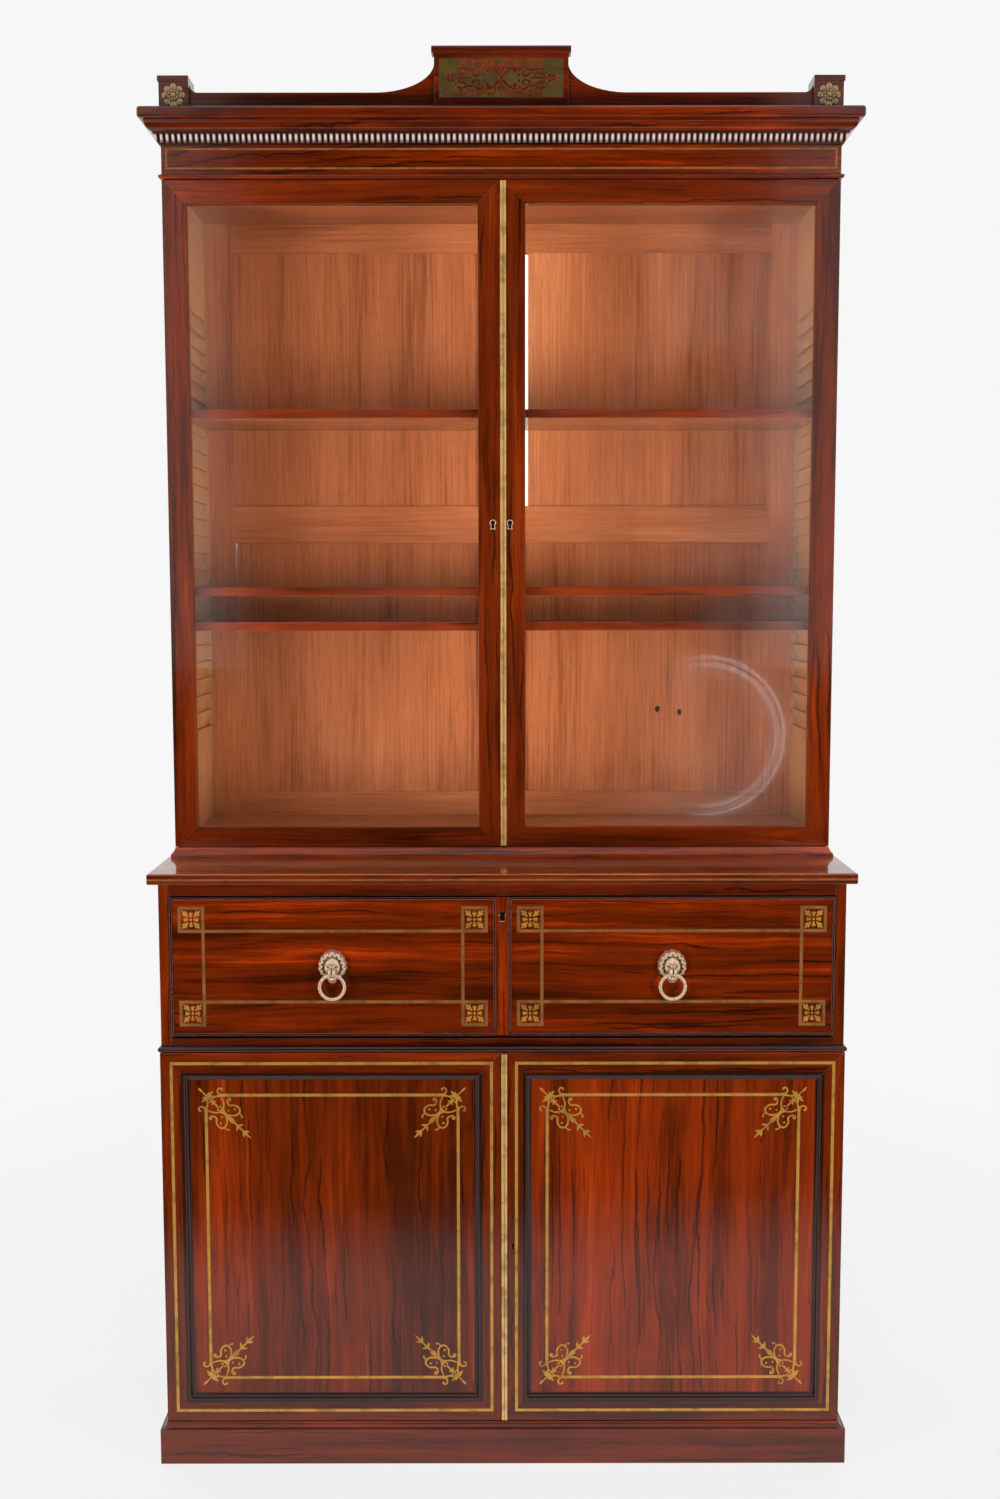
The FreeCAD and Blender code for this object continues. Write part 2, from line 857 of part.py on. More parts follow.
def lower_door_frame(x0, x1, cuts):
    ox0, ox1, oz0, oz1 = lower_door_opening(x0, x1)
    widths = (ox0 - x0, x1 - ox1, oz0 - lower_door_bottom, lower_door_top - oz1)
    members = mitred_frame(x0, x1, lower_door_bottom, lower_door_top, widths,
                           lower_front, lower_front + door_thickness)
    tools = cuts + [lower_panel_box(x0, x1, panel_tongue, panel_groove_play), lower_outer_line(x0, x1)]
    return cut_each(members, tools) + panel_moulding((ox0, ox1, oz0, oz1))


def lower_door_panel(x0, x1):
    panel = lower_panel_box(x0, x1, panel_tongue, 0)
    return [panel.cut(lower_inner_lines(x0, x1))]


def lower_lock_x():
    return right_door_edge + lock_edge_inset


def lower_keyhole_x():
    return right_door_edge + lower_keyhole_offset


def lower_keyhole(y0, y1):
    return keyhole_prism(lower_keyhole_x(), lower_lock_z(), lower_keyhole_radius,
                         lower_keyhole_foot_width, lower_keyhole_foot_drop, y0, y1)


def lower_left_frame():
    cuts = [flip(cut) for cut in door_leaf_cuts(lower_hinge_heights(), half_lower, lower_front)]
    cuts += flush_bolt_space(left_door_edge, lower_front + lower_bolt_y(), lower_door_top)
    cuts.append(door_strike(lower_lock_z(), lower_front))
    return lower_door_frame(-half_lower, left_door_edge, cuts)


def lower_right_frame():
    cuts = door_leaf_cuts(lower_hinge_heights(), half_lower, lower_front)
    cuts += door_lock_space(lower_lock_x(), lower_lock_z(), lower_front)
    cuts.append(lower_keyhole(lower_front - overrun, lower_front + lock_front_cover))
    return lower_door_frame(right_door_edge, half_lower, cuts)


def lower_left_brass():
    leaves = [flip(door_leaf(z, half_lower, lower_front)) for z in lower_hinge_heights()]
    lines = [lower_outer_line(-half_lower, left_door_edge)]
    lines += lower_inner_lines(-half_lower, left_door_edge)
    plate = flush_bolt_plate(left_door_edge, lower_front + lower_bolt_y(), lower_door_top)
    return leaves + lines + [plate]


def lower_right_brass():
    leaves = [door_leaf(z, half_lower, lower_front) for z in lower_hinge_heights()]
    lines = [lower_outer_line(right_door_edge, half_lower)]
    lines += lower_inner_lines(right_door_edge, half_lower)
    lock = door_lock(lower_lock_x(), lower_lock_z(), lower_front)
    return leaves + lines + [lock]


def astragal(front, bottom, top):
    """A brass strip of two reeds that covers the edge of the right door."""
    x0 = right_door_edge
    x1 = x0 + astragal_width
    y0 = front - astragal_thickness
    strip = box(x0, x1, y0, front, bottom + astragal_end_gap, top - astragal_end_gap)
    edges = [edge for edge in strip.Edges if abs(edge.CenterOfMass.y - y0) < overrun / 2]
    uprights = [edge for edge in edges if edge.BoundBox.ZLength > astragal_width]
    strip = strip.makeFillet(astragal_thickness / 2, uprights)
    middle = (x0 + x1) / 2
    half = astragal_groove_width / 2
    groove = prism_xy([(middle - half, y0 - overrun), (middle + half, y0 - overrun),
                       (middle, y0 + astragal_groove_depth)], bottom, top)
    return [strip.cut(groove)]


# Upper stage: the case

def groove_height_at(index):
    return lowest_groove_height + index * groove_pitch


def upper_side():
    side = box(upper_inner, half_upper, upper_case_front, back_y, desk_top_height, cornice_top_bottom)
    grooves = []
    for index in range(groove_count):
        z = groove_height_at(index)
        grooves.append(box(upper_inner - overrun, upper_inner + groove_depth,
                           upper_case_front - overrun, upper_back_front, z, z + groove_height))
    return side.cut(grooves + fixed_leaf_cuts(upper_hinge_heights(), half_upper, upper_front))


def upper_boards():
    floor = box(-upper_inner, upper_inner, upper_case_front, back_y - back_inset,
                upper_floor - board_thickness, upper_floor)
    ceiling = box(-upper_inner, upper_inner, upper_case_front, back_y - back_inset,
                  upper_ceiling, upper_ceiling + board_thickness)
    return [floor, ceiling]


def back_panel_places():
    """Left, right, bottom and top of the four openings in the back frame."""
    outer = upper_inner - back_stile_width
    inner = back_muntin_width / 2
    top = upper_ceiling - back_top_rail
    middle = back_middle_rail_height + back_middle_rail
    bottom = upper_floor + back_bottom_rail
    places = []
    for x0, x1 in ((-outer, -inner), (inner, outer)):
        places += [(x0, x1, bottom, back_middle_rail_height), (x0, x1, middle, top)]
    return places


def back_panel(place, play):
    x0, x1, z0, z1 = place
    edge = back_panel_tongue + play
    y0 = upper_back_front + back_panel_set_back
    return box(x0 - edge, x1 + edge, y0, y0 + back_panel_thickness, z0 - edge, z1 + edge)


def upper_back_panels():
    lower_left, upper_left, lower_right, upper_right = back_panel_places()
    y0 = upper_back_front
    y1 = back_y
    x0, x1, z0, z1 = upper_right
    wide_gap = box(x0 - 2 * back_panel_tongue, x0 + back_panel_wide_split, y0, y1,
                   z0 - 2 * back_panel_tongue, z1 + 2 * back_panel_tongue)
    open_right = back_panel(upper_right, 0).cut(wide_gap)
    x0, x1, z0, z1 = lower_left
    closes = z1 - back_panel_split_share * (z1 - z0)
    narrow_gap = prism_xz([(x0 - 2 * back_panel_tongue, closes), (x0, closes),
                           (x0 + back_panel_narrow_split, z1 + 2 * back_panel_tongue),
                           (x0 - 2 * back_panel_tongue, z1 + 2 * back_panel_tongue)], y0, y1)
    open_left = back_panel(lower_left, 0).cut(narrow_gap)
    return [open_left, back_panel(upper_left, 0), back_panel(lower_right, 0), open_right]


def upper_back_frame():
    y0 = upper_back_front
    y1 = back_y - back_inset
    inside = upper_inner - back_stile_width
    half = back_muntin_width / 2
    stile = box(inside, upper_inner, y0, y1, upper_floor, upper_ceiling)
    middle = back_middle_rail_height
    levels = [(upper_floor, upper_floor + back_bottom_rail), (middle, middle + back_middle_rail)]
    levels.append((upper_ceiling - back_top_rail, upper_ceiling))
    rails = [box(-inside, inside, y0, y1, z0, z1) for z0, z1 in levels]
    muntins = [box(-half, half, y0, y1, levels[0][1], middle)]
    muntins.append(box(-half, half, y0, y1, middle + back_middle_rail, levels[2][0]))
    grooves = [back_panel(place, panel_groove_play) for place in back_panel_places()]
    crown = box(-upper_inner, upper_inner, y0, y1, upper_ceiling + board_thickness, cornice_top_bottom)
    return cut_each(pair(stile) + rails + muntins, grooves) + [crown]


def book_shelves():
    half = upper_inner + groove_depth - shelf_end_play
    front = upper_case_front + shelf_front_inset
    back = upper_back_front - shelf_back_gap
    shelves = []
    for index in grooves_below_shelves_count:
        z = groove_height_at(index)
        shelves.append(box(-half, half, front, back, z, z + shelf_thickness))
    return shelves


# Frieze and cornice

def frieze_line():
    half = half_upper - frieze_string_side_inset
    top = frieze_top - frieze_string_inset
    bottom = frieze_bottom + frieze_string_lower_inset
    return closed_line(-half, half, bottom, top, frieze_string_width,
                       upper_front, upper_front + string_depth)


def frieze():
    board = box(-half_upper, half_upper, upper_front, upper_case_front,
                frieze_bottom, cornice_top_bottom)
    strike = flush_bolt_strike(left_door_edge, upper_front + upper_bolt_y(), frieze_bottom)
    return [board.cut([strike, frieze_line()])]


def necking_bead():
    radius = necking_height / 2
    seat = necking_projection - radius
    steps = [(necking_projection, radius, seat, necking_height)]
    return moulding_runs((seat, 0), steps, frieze_bottom, necking_height, half_upper, upper_front, 0)


def scallops(start, end, count, place):
    """A row of shallow lobes from start to end; place turns a run and a rise into a point."""
    edges = []
    step = (end - start) / count
    for index in range(count):
        a = start + index * step
        middle = place(a + step / 2, bead_foot_projection + bead_relief)
        first = place(a, bead_foot_projection)
        last = place(a + step, bead_foot_projection)
        edges.append(Part.Arc(first, middle, last).toShape())
    return edges


def bead_run(start, end, place, lean):
    """One leaning row of lobes on a thin web; lean is the way that it tips as it rises."""
    count = round((end - start) / bead_pitch)
    web = bead_foot_projection - bead_web
    rim = [place(end, bead_foot_projection), place(end, web)]
    rim += [place(start, web), place(start, bead_foot_projection)]
    edges = scallops(start, end, count, place) + Part.makePolygon(rim).Edges
    slope = AXIS_Z * bead_row_height + lean * (bead_head_projection - bead_foot_projection)
    return Part.Face(Part.Wire(edges)).extrude(slope)


def bead_lobes(bottom):
    reach = bead_head_projection + bead_relief + overrun
    end_cut, side_cut = mitre_cuts(reach, bottom, bead_row_height, half_upper, upper_front, 0)
    far = half_upper + reach
    front = bead_run(-far, far, lambda run, rise: point(run, upper_front - rise, bottom), AXIS_Y * -1)
    side = bead_run(upper_front - reach, back_y,
                    lambda run, rise: point(half_upper + rise, run, bottom), AXIS_X)
    return [front.cut(pair(end_cut))] + pair(side.cut(side_cut))


def bead_row():
    bottom = frieze_top + bead_fillet_height
    top = bottom + bead_row_height
    foot = bead_foot_projection - bead_web
    slope = [(bead_head_projection - bead_web, bead_row_height)]
    beds = moulding_runs((foot, 0), slope, bottom, bead_row_height, half_upper, upper_front, 0)
    below = plain_band(frieze_top, bead_fillet_height, bead_fillet_projection,
                       half_upper, upper_front, 0)
    above = plain_band(top, ovolo_bottom - top, bead_cap_projection, half_upper, upper_front, 0)
    return beds + bead_lobes(bottom) + below + above


def cornice_moulding():
    rise = ovolo_curve_height
    run = ovolo_head_projection - ovolo_foot_projection
    swell = ovolo_swell_share * math.hypot(run, rise)
    middle = (ovolo_foot_projection + run / 2 + swell * rise / math.hypot(run, rise),
              rise / 2 - swell * run / math.hypot(run, rise))
    steps = [middle + (ovolo_head_projection, rise), (cornice_fillet_projection, rise)]
    steps.append((cornice_fillet_projection, ovolo_height))
    return moulding_runs((ovolo_foot_projection, 0), steps, ovolo_bottom, ovolo_height,
                         half_upper, upper_front, 0)


def cornice_top():
    half = half_upper + cornice_projection
    front = upper_front - cornice_projection
    slab = box(-half, half, front, back_y, cornice_top_bottom, cornice_top_height)
    edges = [edge for edge in slab.Edges if is_show_edge(edge, front, half)]
    return [slab.makeFillet(cornice_nose_radius, edges)]


def base_moulding():
    reach = base_moulding_projection
    fillet = base_moulding_height / 3
    bend = (reach * 0.4, base_moulding_height * 0.6)
    steps = [(reach, fillet), bend + (0, base_moulding_height)]
    return moulding_runs((reach, 0), steps, desk_top_height, base_moulding_height,
                         half_upper, upper_front, door_thickness + door_back_gap)


# Gallery: swept boards, tablet, corner blocks and rosettes

def block_outer():
    return half_upper + block_overhang


def gallery_boards():
    y0 = upper_front + gallery_set_back
    base = cornice_top_height
    top = base + gallery_height
    inner = tablet_width / 2
    outer = block_outer() - block_width
    foot = inner + gallery_sweep_width
    crest = top + gallery_sweep_rise
    end_foot = outer - gallery_end_sweep_width
    end_crest = top + gallery_end_sweep_rise
    place = lambda x, z: point(x, y0, z)
    sweep = Part.Ellipse(place(inner, crest), place(foot, top), place(foot, crest))
    end_sweep = Part.Ellipse(place(end_foot, end_crest - gallery_end_sweep_rise),
                             place(outer, end_crest), place(end_foot, end_crest))
    edges = [Part.makeLine(place(inner, base), place(inner, crest))]
    edges.append(quarter(sweep, place(inner, crest), place(foot, top)))
    edges.append(Part.makeLine(place(foot, top), place(end_foot, top)))
    edges.append(quarter(end_sweep, place(end_foot, top), place(outer, end_crest)))
    edges.append(Part.makeLine(place(outer, end_crest), place(outer, base)))
    edges.append(Part.makeLine(place(outer, base), place(inner, base)))
    board = Part.Face(Part.Wire(Part.__sortEdges__(edges))).extrude(AXIS_Y * gallery_thickness)
    return pair(board)


def quarter(curve, first, last):
    """The quarter of an ellipse between two of its axis points."""
    a = curve.parameter(first)
    b = curve.parameter(last)
    if (b - a) % (2 * math.pi) > math.pi:
        a, b = b, a
    return Part.ArcOfEllipse(curve, a, b).toShape()


def gallery_tablet():
    half = tablet_width / 2
    y0 = upper_front + tablet_set_back
    y1 = y0 + tablet_thickness
    base = cornice_top_height
    neck = base + tablet_body_height
    cap = neck + tablet_neck_height
    body = box(-half, half, y0, y1, base, cap)
    reach = tablet_cap_projection
    head = box(-half - reach, half + reach, y0 - reach, y1, cap, cap + tablet_cap_height)
    edges = [edge for edge in head.Edges if edge.CenterOfMass.y < y0 and edge.BoundBox.XLength > half]
    head = head.makeFillet(tablet_cap_height / 3, edges)
    wide = rectangle(half + reach / 2, y0 - reach / 2, y1, cap)
    flare = Part.makeLoft([rectangle(half, y0, y1, neck), wide], True, True)
    return [body.fuse([head, flare]).removeSplitter().cut(tablet_plate()[0])]


def rectangle(half, y0, y1, z):
    corners = [point(-half, y0, z), point(half, y0, z), point(half, y1, z), point(-half, y1, z)]
    return Part.makePolygon(corners + corners[:1])


def tablet_plate():
    half = tablet_plate_width / 2
    y0 = upper_front + tablet_set_back
    bottom = cornice_top_height + tablet_plate_bottom
    return [box(-half, half, y0, y0 + tablet_plate_thickness, bottom, bottom + tablet_plate_height)]


def corner_blocks():
    x1 = block_outer() - block_cap_projection
    x0 = block_outer() - block_width
    y0 = upper_front + block_set_back
    y1 = y0 + block_width
    base = cornice_top_height
    cap = base + block_height - block_cap_height
    body = box(x0, x1, y0, y1, base, cap)
    head = box(x0, block_outer(), y0 - block_cap_projection, y1, cap, base + block_height)
    return pair(body.fuse(head).removeSplitter())


def rosette():
    """A turned and chased flower of eight petals on the front of a block."""
    x = block_outer() - block_width / 2
    z = cornice_top_height + rosette_drop
    y = upper_front + block_set_back
    turn = 2 * math.pi / rosette_petal_count
    inner = rosette_radius - rosette_petal_relief
    edges = []
    for index in range(rosette_petal_count):
        ends = [petal_point(x, y, z, inner, turn * (index + k)) for k in (0, 1)]
        tip = petal_point(x, y, z, rosette_radius, turn * (index + 1 / 2))
        edges.append(Part.Arc(ends[0], tip, ends[1]).toShape())
    petals = Part.Face(Part.Wire(edges)).extrude(AXIS_Y * -rosette_thickness)
    ring = Part.makeCylinder(rosette_ring_radius, rosette_ring_thickness, point(x, y, z), AXIS_Y * -1)
    button = Part.makeCone(rosette_button_radius, rosette_button_radius / 2, rosette_button_height,
                           point(x, y, z), AXIS_Y * -1)
    return petals.fuse([ring, button]).removeSplitter()


def petal_point(x, y, z, radius, angle):
    return point(x + radius * math.cos(angle), y, z + radius * math.sin(angle))


# Upper doors

def upper_lock_z():
    return upper_door_bottom + upper_lock_height_share * upper_door_height


def upper_door_opening(x0, x1):
    if x1 > 0:
        left, right = right_meeting_stile, upper_outer_stile
    else:
        left, right = upper_outer_stile, left_meeting_stile
    return x0 + left, x1 - right, upper_door_bottom + upper_bottom_rail, upper_door_top - upper_top_rail


def upper_door_frame(x0, x1, cuts):
    ox0, ox1, oz0, oz1 = upper_door_opening(x0, x1)
    y0 = upper_front
    y1 = y0 + door_thickness
    edge = glass_rebate
    widths = (ox0 - x0, x1 - ox1, oz0 - upper_door_bottom, upper_door_top - oz1)
    members = mitred_frame(x0, x1, upper_door_bottom, upper_door_top, widths, y0, y1)
    rebate = box(ox0 - edge, ox1 + edge, y0 + glass_set_back, y1 + overrun, oz0 - edge, oz1 + edge)
    beads = even_frame(ox0 - edge, ox1 + edge, oz0 - edge, oz1 + edge, edge,
                       y0 + glass_set_back + glass_thickness, y1)
    return cut_each(members, cuts + [rebate]) + beads


def upper_door_glass(x0, x1):
    ox0, ox1, oz0, oz1 = upper_door_opening(x0, x1)
    edge = glass_rebate - glass_edge_play
    y0 = upper_front + glass_set_back
    return [box(ox0 - edge, ox1 + edge, y0, y0 + glass_thickness, oz0 - edge, oz1 + edge)]


def upper_left_frame():
    cuts = [flip(cut) for cut in door_leaf_cuts(upper_hinge_heights(), half_upper, upper_front)]
    cuts += flush_bolt_space(left_door_edge, upper_front + upper_bolt_y(), upper_door_top)
    cuts.append(door_strike(upper_lock_z(), upper_front))
    cuts.append(escutcheon_space(left_keyhole_x(), upper_lock_z(), upper_front,
                                 upper_front + 2 * string_depth))
    return upper_door_frame(-half_upper, left_door_edge, cuts)


def upper_right_frame():
    cuts = door_leaf_cuts(upper_hinge_heights(), half_upper, upper_front)
    cuts += door_lock_space(upper_lock_x(), upper_lock_z(), upper_front)
    cuts.append(escutcheon_space(right_keyhole_x(), upper_lock_z(), upper_front,
                                 upper_front + 2 * string_depth))
    cuts.append(big_keyhole(right_keyhole_x(), upper_lock_z(), upper_front,
                            upper_front + lock_front_cover))
    return upper_door_frame(right_door_edge, half_upper, cuts)


def left_keyhole_x():
    return left_door_edge - left_keyhole_offset


def right_keyhole_x():
    return right_door_edge + right_keyhole_offset


def upper_lock_x():
    return right_door_edge + lock_edge_inset


def key_pin(x, z, front):
    y = front + lock_front_cover / 2
    return rod(point(x, y, z), keyhole_pin_radius, lock_front_cover, AXIS_Y)


def upper_left_brass():
    leaves = [flip(door_leaf(z, half_upper, upper_front)) for z in upper_hinge_heights()]
    plate = flush_bolt_plate(left_door_edge, upper_front + upper_bolt_y(), upper_door_top)
    return leaves + [plate, escutcheon(left_keyhole_x(), upper_lock_z(), upper_front)]


def upper_right_brass():
    leaves = [door_leaf(z, half_upper, upper_front) for z in upper_hinge_heights()]
    lock = door_lock(upper_lock_x(), upper_lock_z(), upper_front)
    pin = key_pin(right_keyhole_x(), upper_lock_z(), upper_front)
    return leaves + [lock.fuse(pin), escutcheon(right_keyhole_x(), upper_lock_z(), upper_front)]


def carcase_brass():
    pieces = [desk_line(), frieze_line()]
    for height in lower_hinge_heights():
        for piece in case_leaf(height, half_lower, lower_front):
            pieces += pair(piece)
    for height in upper_hinge_heights():
        for piece in case_leaf(height, half_upper, upper_front):
            pieces += pair(piece)
    return pieces


# Secretaire drawer

def pivot_plate_x():
    return drawer_half - pivot_plate_inset


def pivot_relief():
    """The round space that the lower edge of the fall turns in."""
    radius = math.hypot(fall_thickness / 2, pivot_z - fall_bottom) + cove_relief
    return rod(point(0, pivot_y, pivot_z), radius, lower_width, AXIS_X)


def pivot_plate(play):
    x = pivot_plate_x()
    half_x = pivot_plate_thickness / 2 + play
    half_z = pivot_plate_height / 2 + play
    bar = box(x - half_x, x + half_x, pivot_y, pivot_y + pivot_plate_length,
              pivot_z - half_z, pivot_z + half_z)
    eye = rod(point(x, pivot_y, pivot_z), half_z, 2 * half_x, AXIS_X)
    return bar.fuse(eye).removeSplitter()


def pivot_pin(radius):
    return rod(point(pivot_plate_x(), pivot_y, pivot_z), radius, pivot_pin_length, AXIS_X)


def drawer_brass():
    return pair(pivot_plate(0).cut(pivot_pin(pivot_pin_radius + pin_clearance)))


def drawer_case():
    front = fall_back + running_gap
    base = box(-drawer_half, drawer_half, pivot_y, drawer_end, fall_bottom, writing_level)
    base = base.cut([pivot_relief()] + pair(pivot_plate(0)))
    inner = drawer_half - drawer_side_thickness
    side = box(inner, drawer_half, front, drawer_end, writing_level, drawer_top)
    back = box(-inner, inner, drawer_end - drawer_side_thickness, drawer_end,
               writing_level, drawer_top)
    return [base, back] + pair(side)


def divider_edges():
    return [share * pigeonhole_half_width for share in divider_shares]


def small_drawer_space():
    """Left, right, bottom and top of the right-hand small drawer's compartment."""
    x0 = divider_edges()[-1] + pigeonhole_board / 2
    x1 = pigeonhole_half_width - pigeonhole_board
    z0 = pigeonhole_bottom + pigeonhole_board
    return x0, x1, z0, z0 + small_drawer_height


def pigeonhole_case():
    half = pigeonhole_half_width
    y0 = pigeonhole_front
    y1 = pigeonhole_back
    t = pigeonhole_board
    floor = box(-half, half, y0, y1, pigeonhole_bottom, pigeonhole_bottom + t)
    roof = box(-half, half, y0, y1, pigeonhole_top - t, pigeonhole_top)
    z0 = pigeonhole_bottom + t
    z1 = pigeonhole_top - t
    uprights = pair(box(half - t, half, y0, y1, z0, z1))
    for x in divider_edges():
        uprights += pair(box(x - t / 2, x + t / 2, y0, y1, z0, z1))
    sx0, sx1, sz0, sz1 = small_drawer_space()
    shelves = pair(box(sx0, sx1, y0, y1, sz1, sz1 + t))
    return [floor, roof] + uprights + shelves


def small_drawer():
    """The right-hand one: front, two sides, back, base and a turned knob."""
    sx0, sx1, sz0, sz1 = small_drawer_space()
    play = small_drawer_play
    x0, x1 = sx0 + play, sx1 - play
    z0, z1 = sz0 + play / 2, sz1 - play
    y0 = pigeonhole_front
    y1 = pigeonhole_back - play
    inner = y0 + small_drawer_front
    s = small_drawer_side
    front = box(x0, x1, y0, inner, z0, z1)
    sides = [box(x0, x0 + s, inner, y1, z0, z1), box(x1 - s, x1, inner, y1, z0, z1)]
    back = box(x0 + s, x1 - s, y1 - s, y1, z0, z1)
    base = box(x0 + s, x1 - s, inner, y1 - s, z0, z0 + small_drawer_base)
    centre = point((x0 + x1) / 2, y0, (z0 + z1) / 2)
    neck = Part.makeCylinder(small_knob_neck_radius, small_knob_neck_length, centre, AXIS_Y * -1)
    head_start = centre - AXIS_Y * small_knob_neck_length
    head_length = small_knob_length - small_knob_neck_length
    head = Part.makeCylinder(small_knob_radius, head_length, head_start, AXIS_Y * -1)
    head = head.makeFillet(small_knob_radius / 3, head.Edges[:1] + head.Edges[2:])
    return [front, back, base, neck.fuse(head)] + sides


# Fall front

def front_bounds():
    """Left, right, bottom and top of the right-hand mock drawer front."""
    return centre_stile_width / 2, fall_half, fall_bottom, fall_top


def rounded_rectangle(x0, x1, z0, z1, radius, y0, y1):
    blank = box(x0, x1, y0, y1, z0, z1)
    uprights = [edge for edge in blank.Edges if edge.BoundBox.YLength > (y1 - y0) / 2]
    return blank.makeFillet(radius, uprights)


def cockbead():
    x0, x1, z0, z1 = front_bounds()
    y0 = section_front - cockbead_projection
    y1 = section_front + cockbead_depth
    w = cockbead_width
    outer = rounded_rectangle(x0, x1, z0, z1, cockbead_corner_radius, y0, y1)
    inner = rounded_rectangle(x0 + w, x1 - w, z0 + w, z1 - w, cockbead_corner_radius - w,
                              y0 - overrun, y1 + overrun)
    return outer.cut(inner)


def front_squares():
    """Lower left corners of the four inlaid squares on the right-hand front."""
    x0, x1, z0, z1 = front_bounds()
    xs = (x0 + square_inset_side, x1 - square_inset_side - square_size)
    zs = (z0 + square_inset_end, z1 - square_inset_end - square_size)
    return [(x, z) for x in xs for z in zs]


def front_lines():
    y0 = section_front
    y1 = y0 + string_depth
    corners = front_squares()
    squares = [closed_line(x, x + square_size, z, z + square_size, string_width, y0, y1)
               for x, z in corners]
    xs = sorted({x for x, z in corners})
    zs = sorted({z for x, z in corners})
    step = square_size - string_width
    frame = closed_line(xs[0] + step, xs[1] + string_width, zs[0] + step, zs[1] + string_width,
                        string_width, y0, y1)
    return frame.fuse(squares).removeSplitter()


def fall_bolt_box(play, z0, z1):
    half_x = bolt_width / 2 + play
    y = fall_back - lock_thickness / 2 - bolt_play
    half_y = bolt_thickness / 2 + play
    return box(-half_x, half_x, y - half_y, y + half_y, z0, z1)


def fall_lock_space():
    return box(-lock_height / 2, lock_height / 2, fall_back - lock_thickness - bolt_play, fall_back,
               fall_top - lock_edge_inset - fall_lock_length, fall_top - lock_edge_inset)


def fall_lock():
    bolt_room = fall_bolt_box(bolt_play, fall_top - bolt_length - bolt_play, fall_top)
    return fall_lock_space().cut(bolt_room)


def fall_keyhole_z():
    return fall_top - fall_keyhole_drop


def fall_key_pin():
    y1 = fall_back - lock_thickness - bolt_play
    centre = point(0, (section_front + y1) / 2, fall_keyhole_z())
    return rod(centre, keyhole_pin_radius, y1 - section_front, AXIS_Y)


def leather_box():
    half = fall_half - leather_side_inset
    return box(-half, half, fall_back - leather_thickness, fall_back,
               fall_bottom + leather_lower_inset, fall_top - leather_upper_inset)


def mask_post():
    length = fall_thickness - mask_nut_pocket_depth + mask_nut_thickness
    return Part.makeCylinder(mask_post_radius, length, point(mask_x, section_front, mask_z), AXIS_Y)


def mask_nut_pocket():
    start = fall_back - mask_nut_pocket_depth
    return Part.makeCylinder(mask_nut_pocket_radius, mask_nut_pocket_depth + overrun,
                             point(mask_x, start, mask_z), AXIS_Y)


def mask_nut():
    start = fall_back - mask_nut_pocket_depth
    half = mask_nut_width / 2
    nut = box(mask_x - half, mask_x + half, start, start + mask_nut_thickness,
              mask_z - half, mask_z + half)
    return nut.cut(mask_post())


def pivot_slot():
    """The slot in each lower corner of the fall that the pivot plate turns in."""
    x = pivot_plate_x()
    half = pivot_plate_thickness / 2 + pivot_slot_play
    reach = pivot_plate_height / 2 + pivot_slot_play
    return box(x - half, x + half, pivot_y - reach, fall_back + overrun,
               fall_bottom - overrun, pivot_z + reach)


def fall_board():
    board = box(-fall_half, fall_half, section_front, fall_back, fall_bottom, fall_top)
    cuts = [leather_box(), fall_lock_space()]
    cuts.append(fall_bolt_box(bolt_play, fall_top - bolt_length, fall_top + overrun))
    cuts.append(escutcheon_space(0, fall_keyhole_z(), section_front, section_front + 2 * string_depth))
    cuts.append(big_keyhole(0, fall_keyhole_z(), section_front, fall_back - lock_thickness))
    for tool in (cockbead(), front_lines(), pivot_slot(), pivot_pin(pivot_pin_radius), mask_post(),
                 mask_nut_pocket()):
        cuts += pair(tool)
    return [board.cut(cuts)]


def fall_brass():
    lock = fall_lock().fuse(fall_key_pin())
    pieces = [lock, escutcheon(0, fall_keyhole_z(), section_front)]
    return pieces + pair(front_lines()) + pair(pivot_pin(pivot_pin_radius))


def fall_lock_bolt():
    return [fall_bolt_box(0, fall_top - bolt_length, fall_top - bolt_tip_inset)]


# Lion masks and rings

def oval(x, z, half_width, half_height, y):
    tall = half_height > half_width
    side = point(x + half_width, y, z)
    top = point(x, y, z + half_height)
    major, minor = (top, side) if tall else (side, top)
    return Part.Wire([Part.Ellipse(major, minor, point(x, y, z)).toShape()])


def lion_mask():
    """A low oval head with a snout; the ring hangs through the mouth."""
    x = mask_x
    face = section_front
    rim_y = face - mask_rim_thickness
    crown = mask_crown_share
    rim = Part.makeLoft([oval(x, mask_z, mask_half_width, mask_half_height, face),
                         oval(x, mask_z, mask_half_width, mask_half_height, rim_y)], True, True)
    top = oval(x, mask_z, mask_half_width * crown, mask_half_height * crown, face - mask_relief)
    dome = Part.makeLoft([oval(x, mask_z, mask_half_width, mask_half_height, rim_y), top], True, True)
    tip = snout_tip_share
    nose = oval(x, mouth_z, snout_half_width * tip, snout_half_height * tip, face - snout_depth)
    snout = Part.makeLoft([oval(x, mouth_z, snout_half_width, snout_half_height, rim_y), nose],
                          True, True)
    width = lower_side_thickness + mask_half_width
    mouth = rod(point(x, mouth_y, mouth_z), mouth_radius, width, AXIS_X)
    return rim.fuse([dome, snout]).removeSplitter().cut(mouth).fuse(mask_post())


def ring_pull():
    centre = point(mask_x, mouth_y, mouth_z - ring_radius)
    return Part.makeTorus(ring_radius, ring_thickness_radius, centre, AXIS_Y)


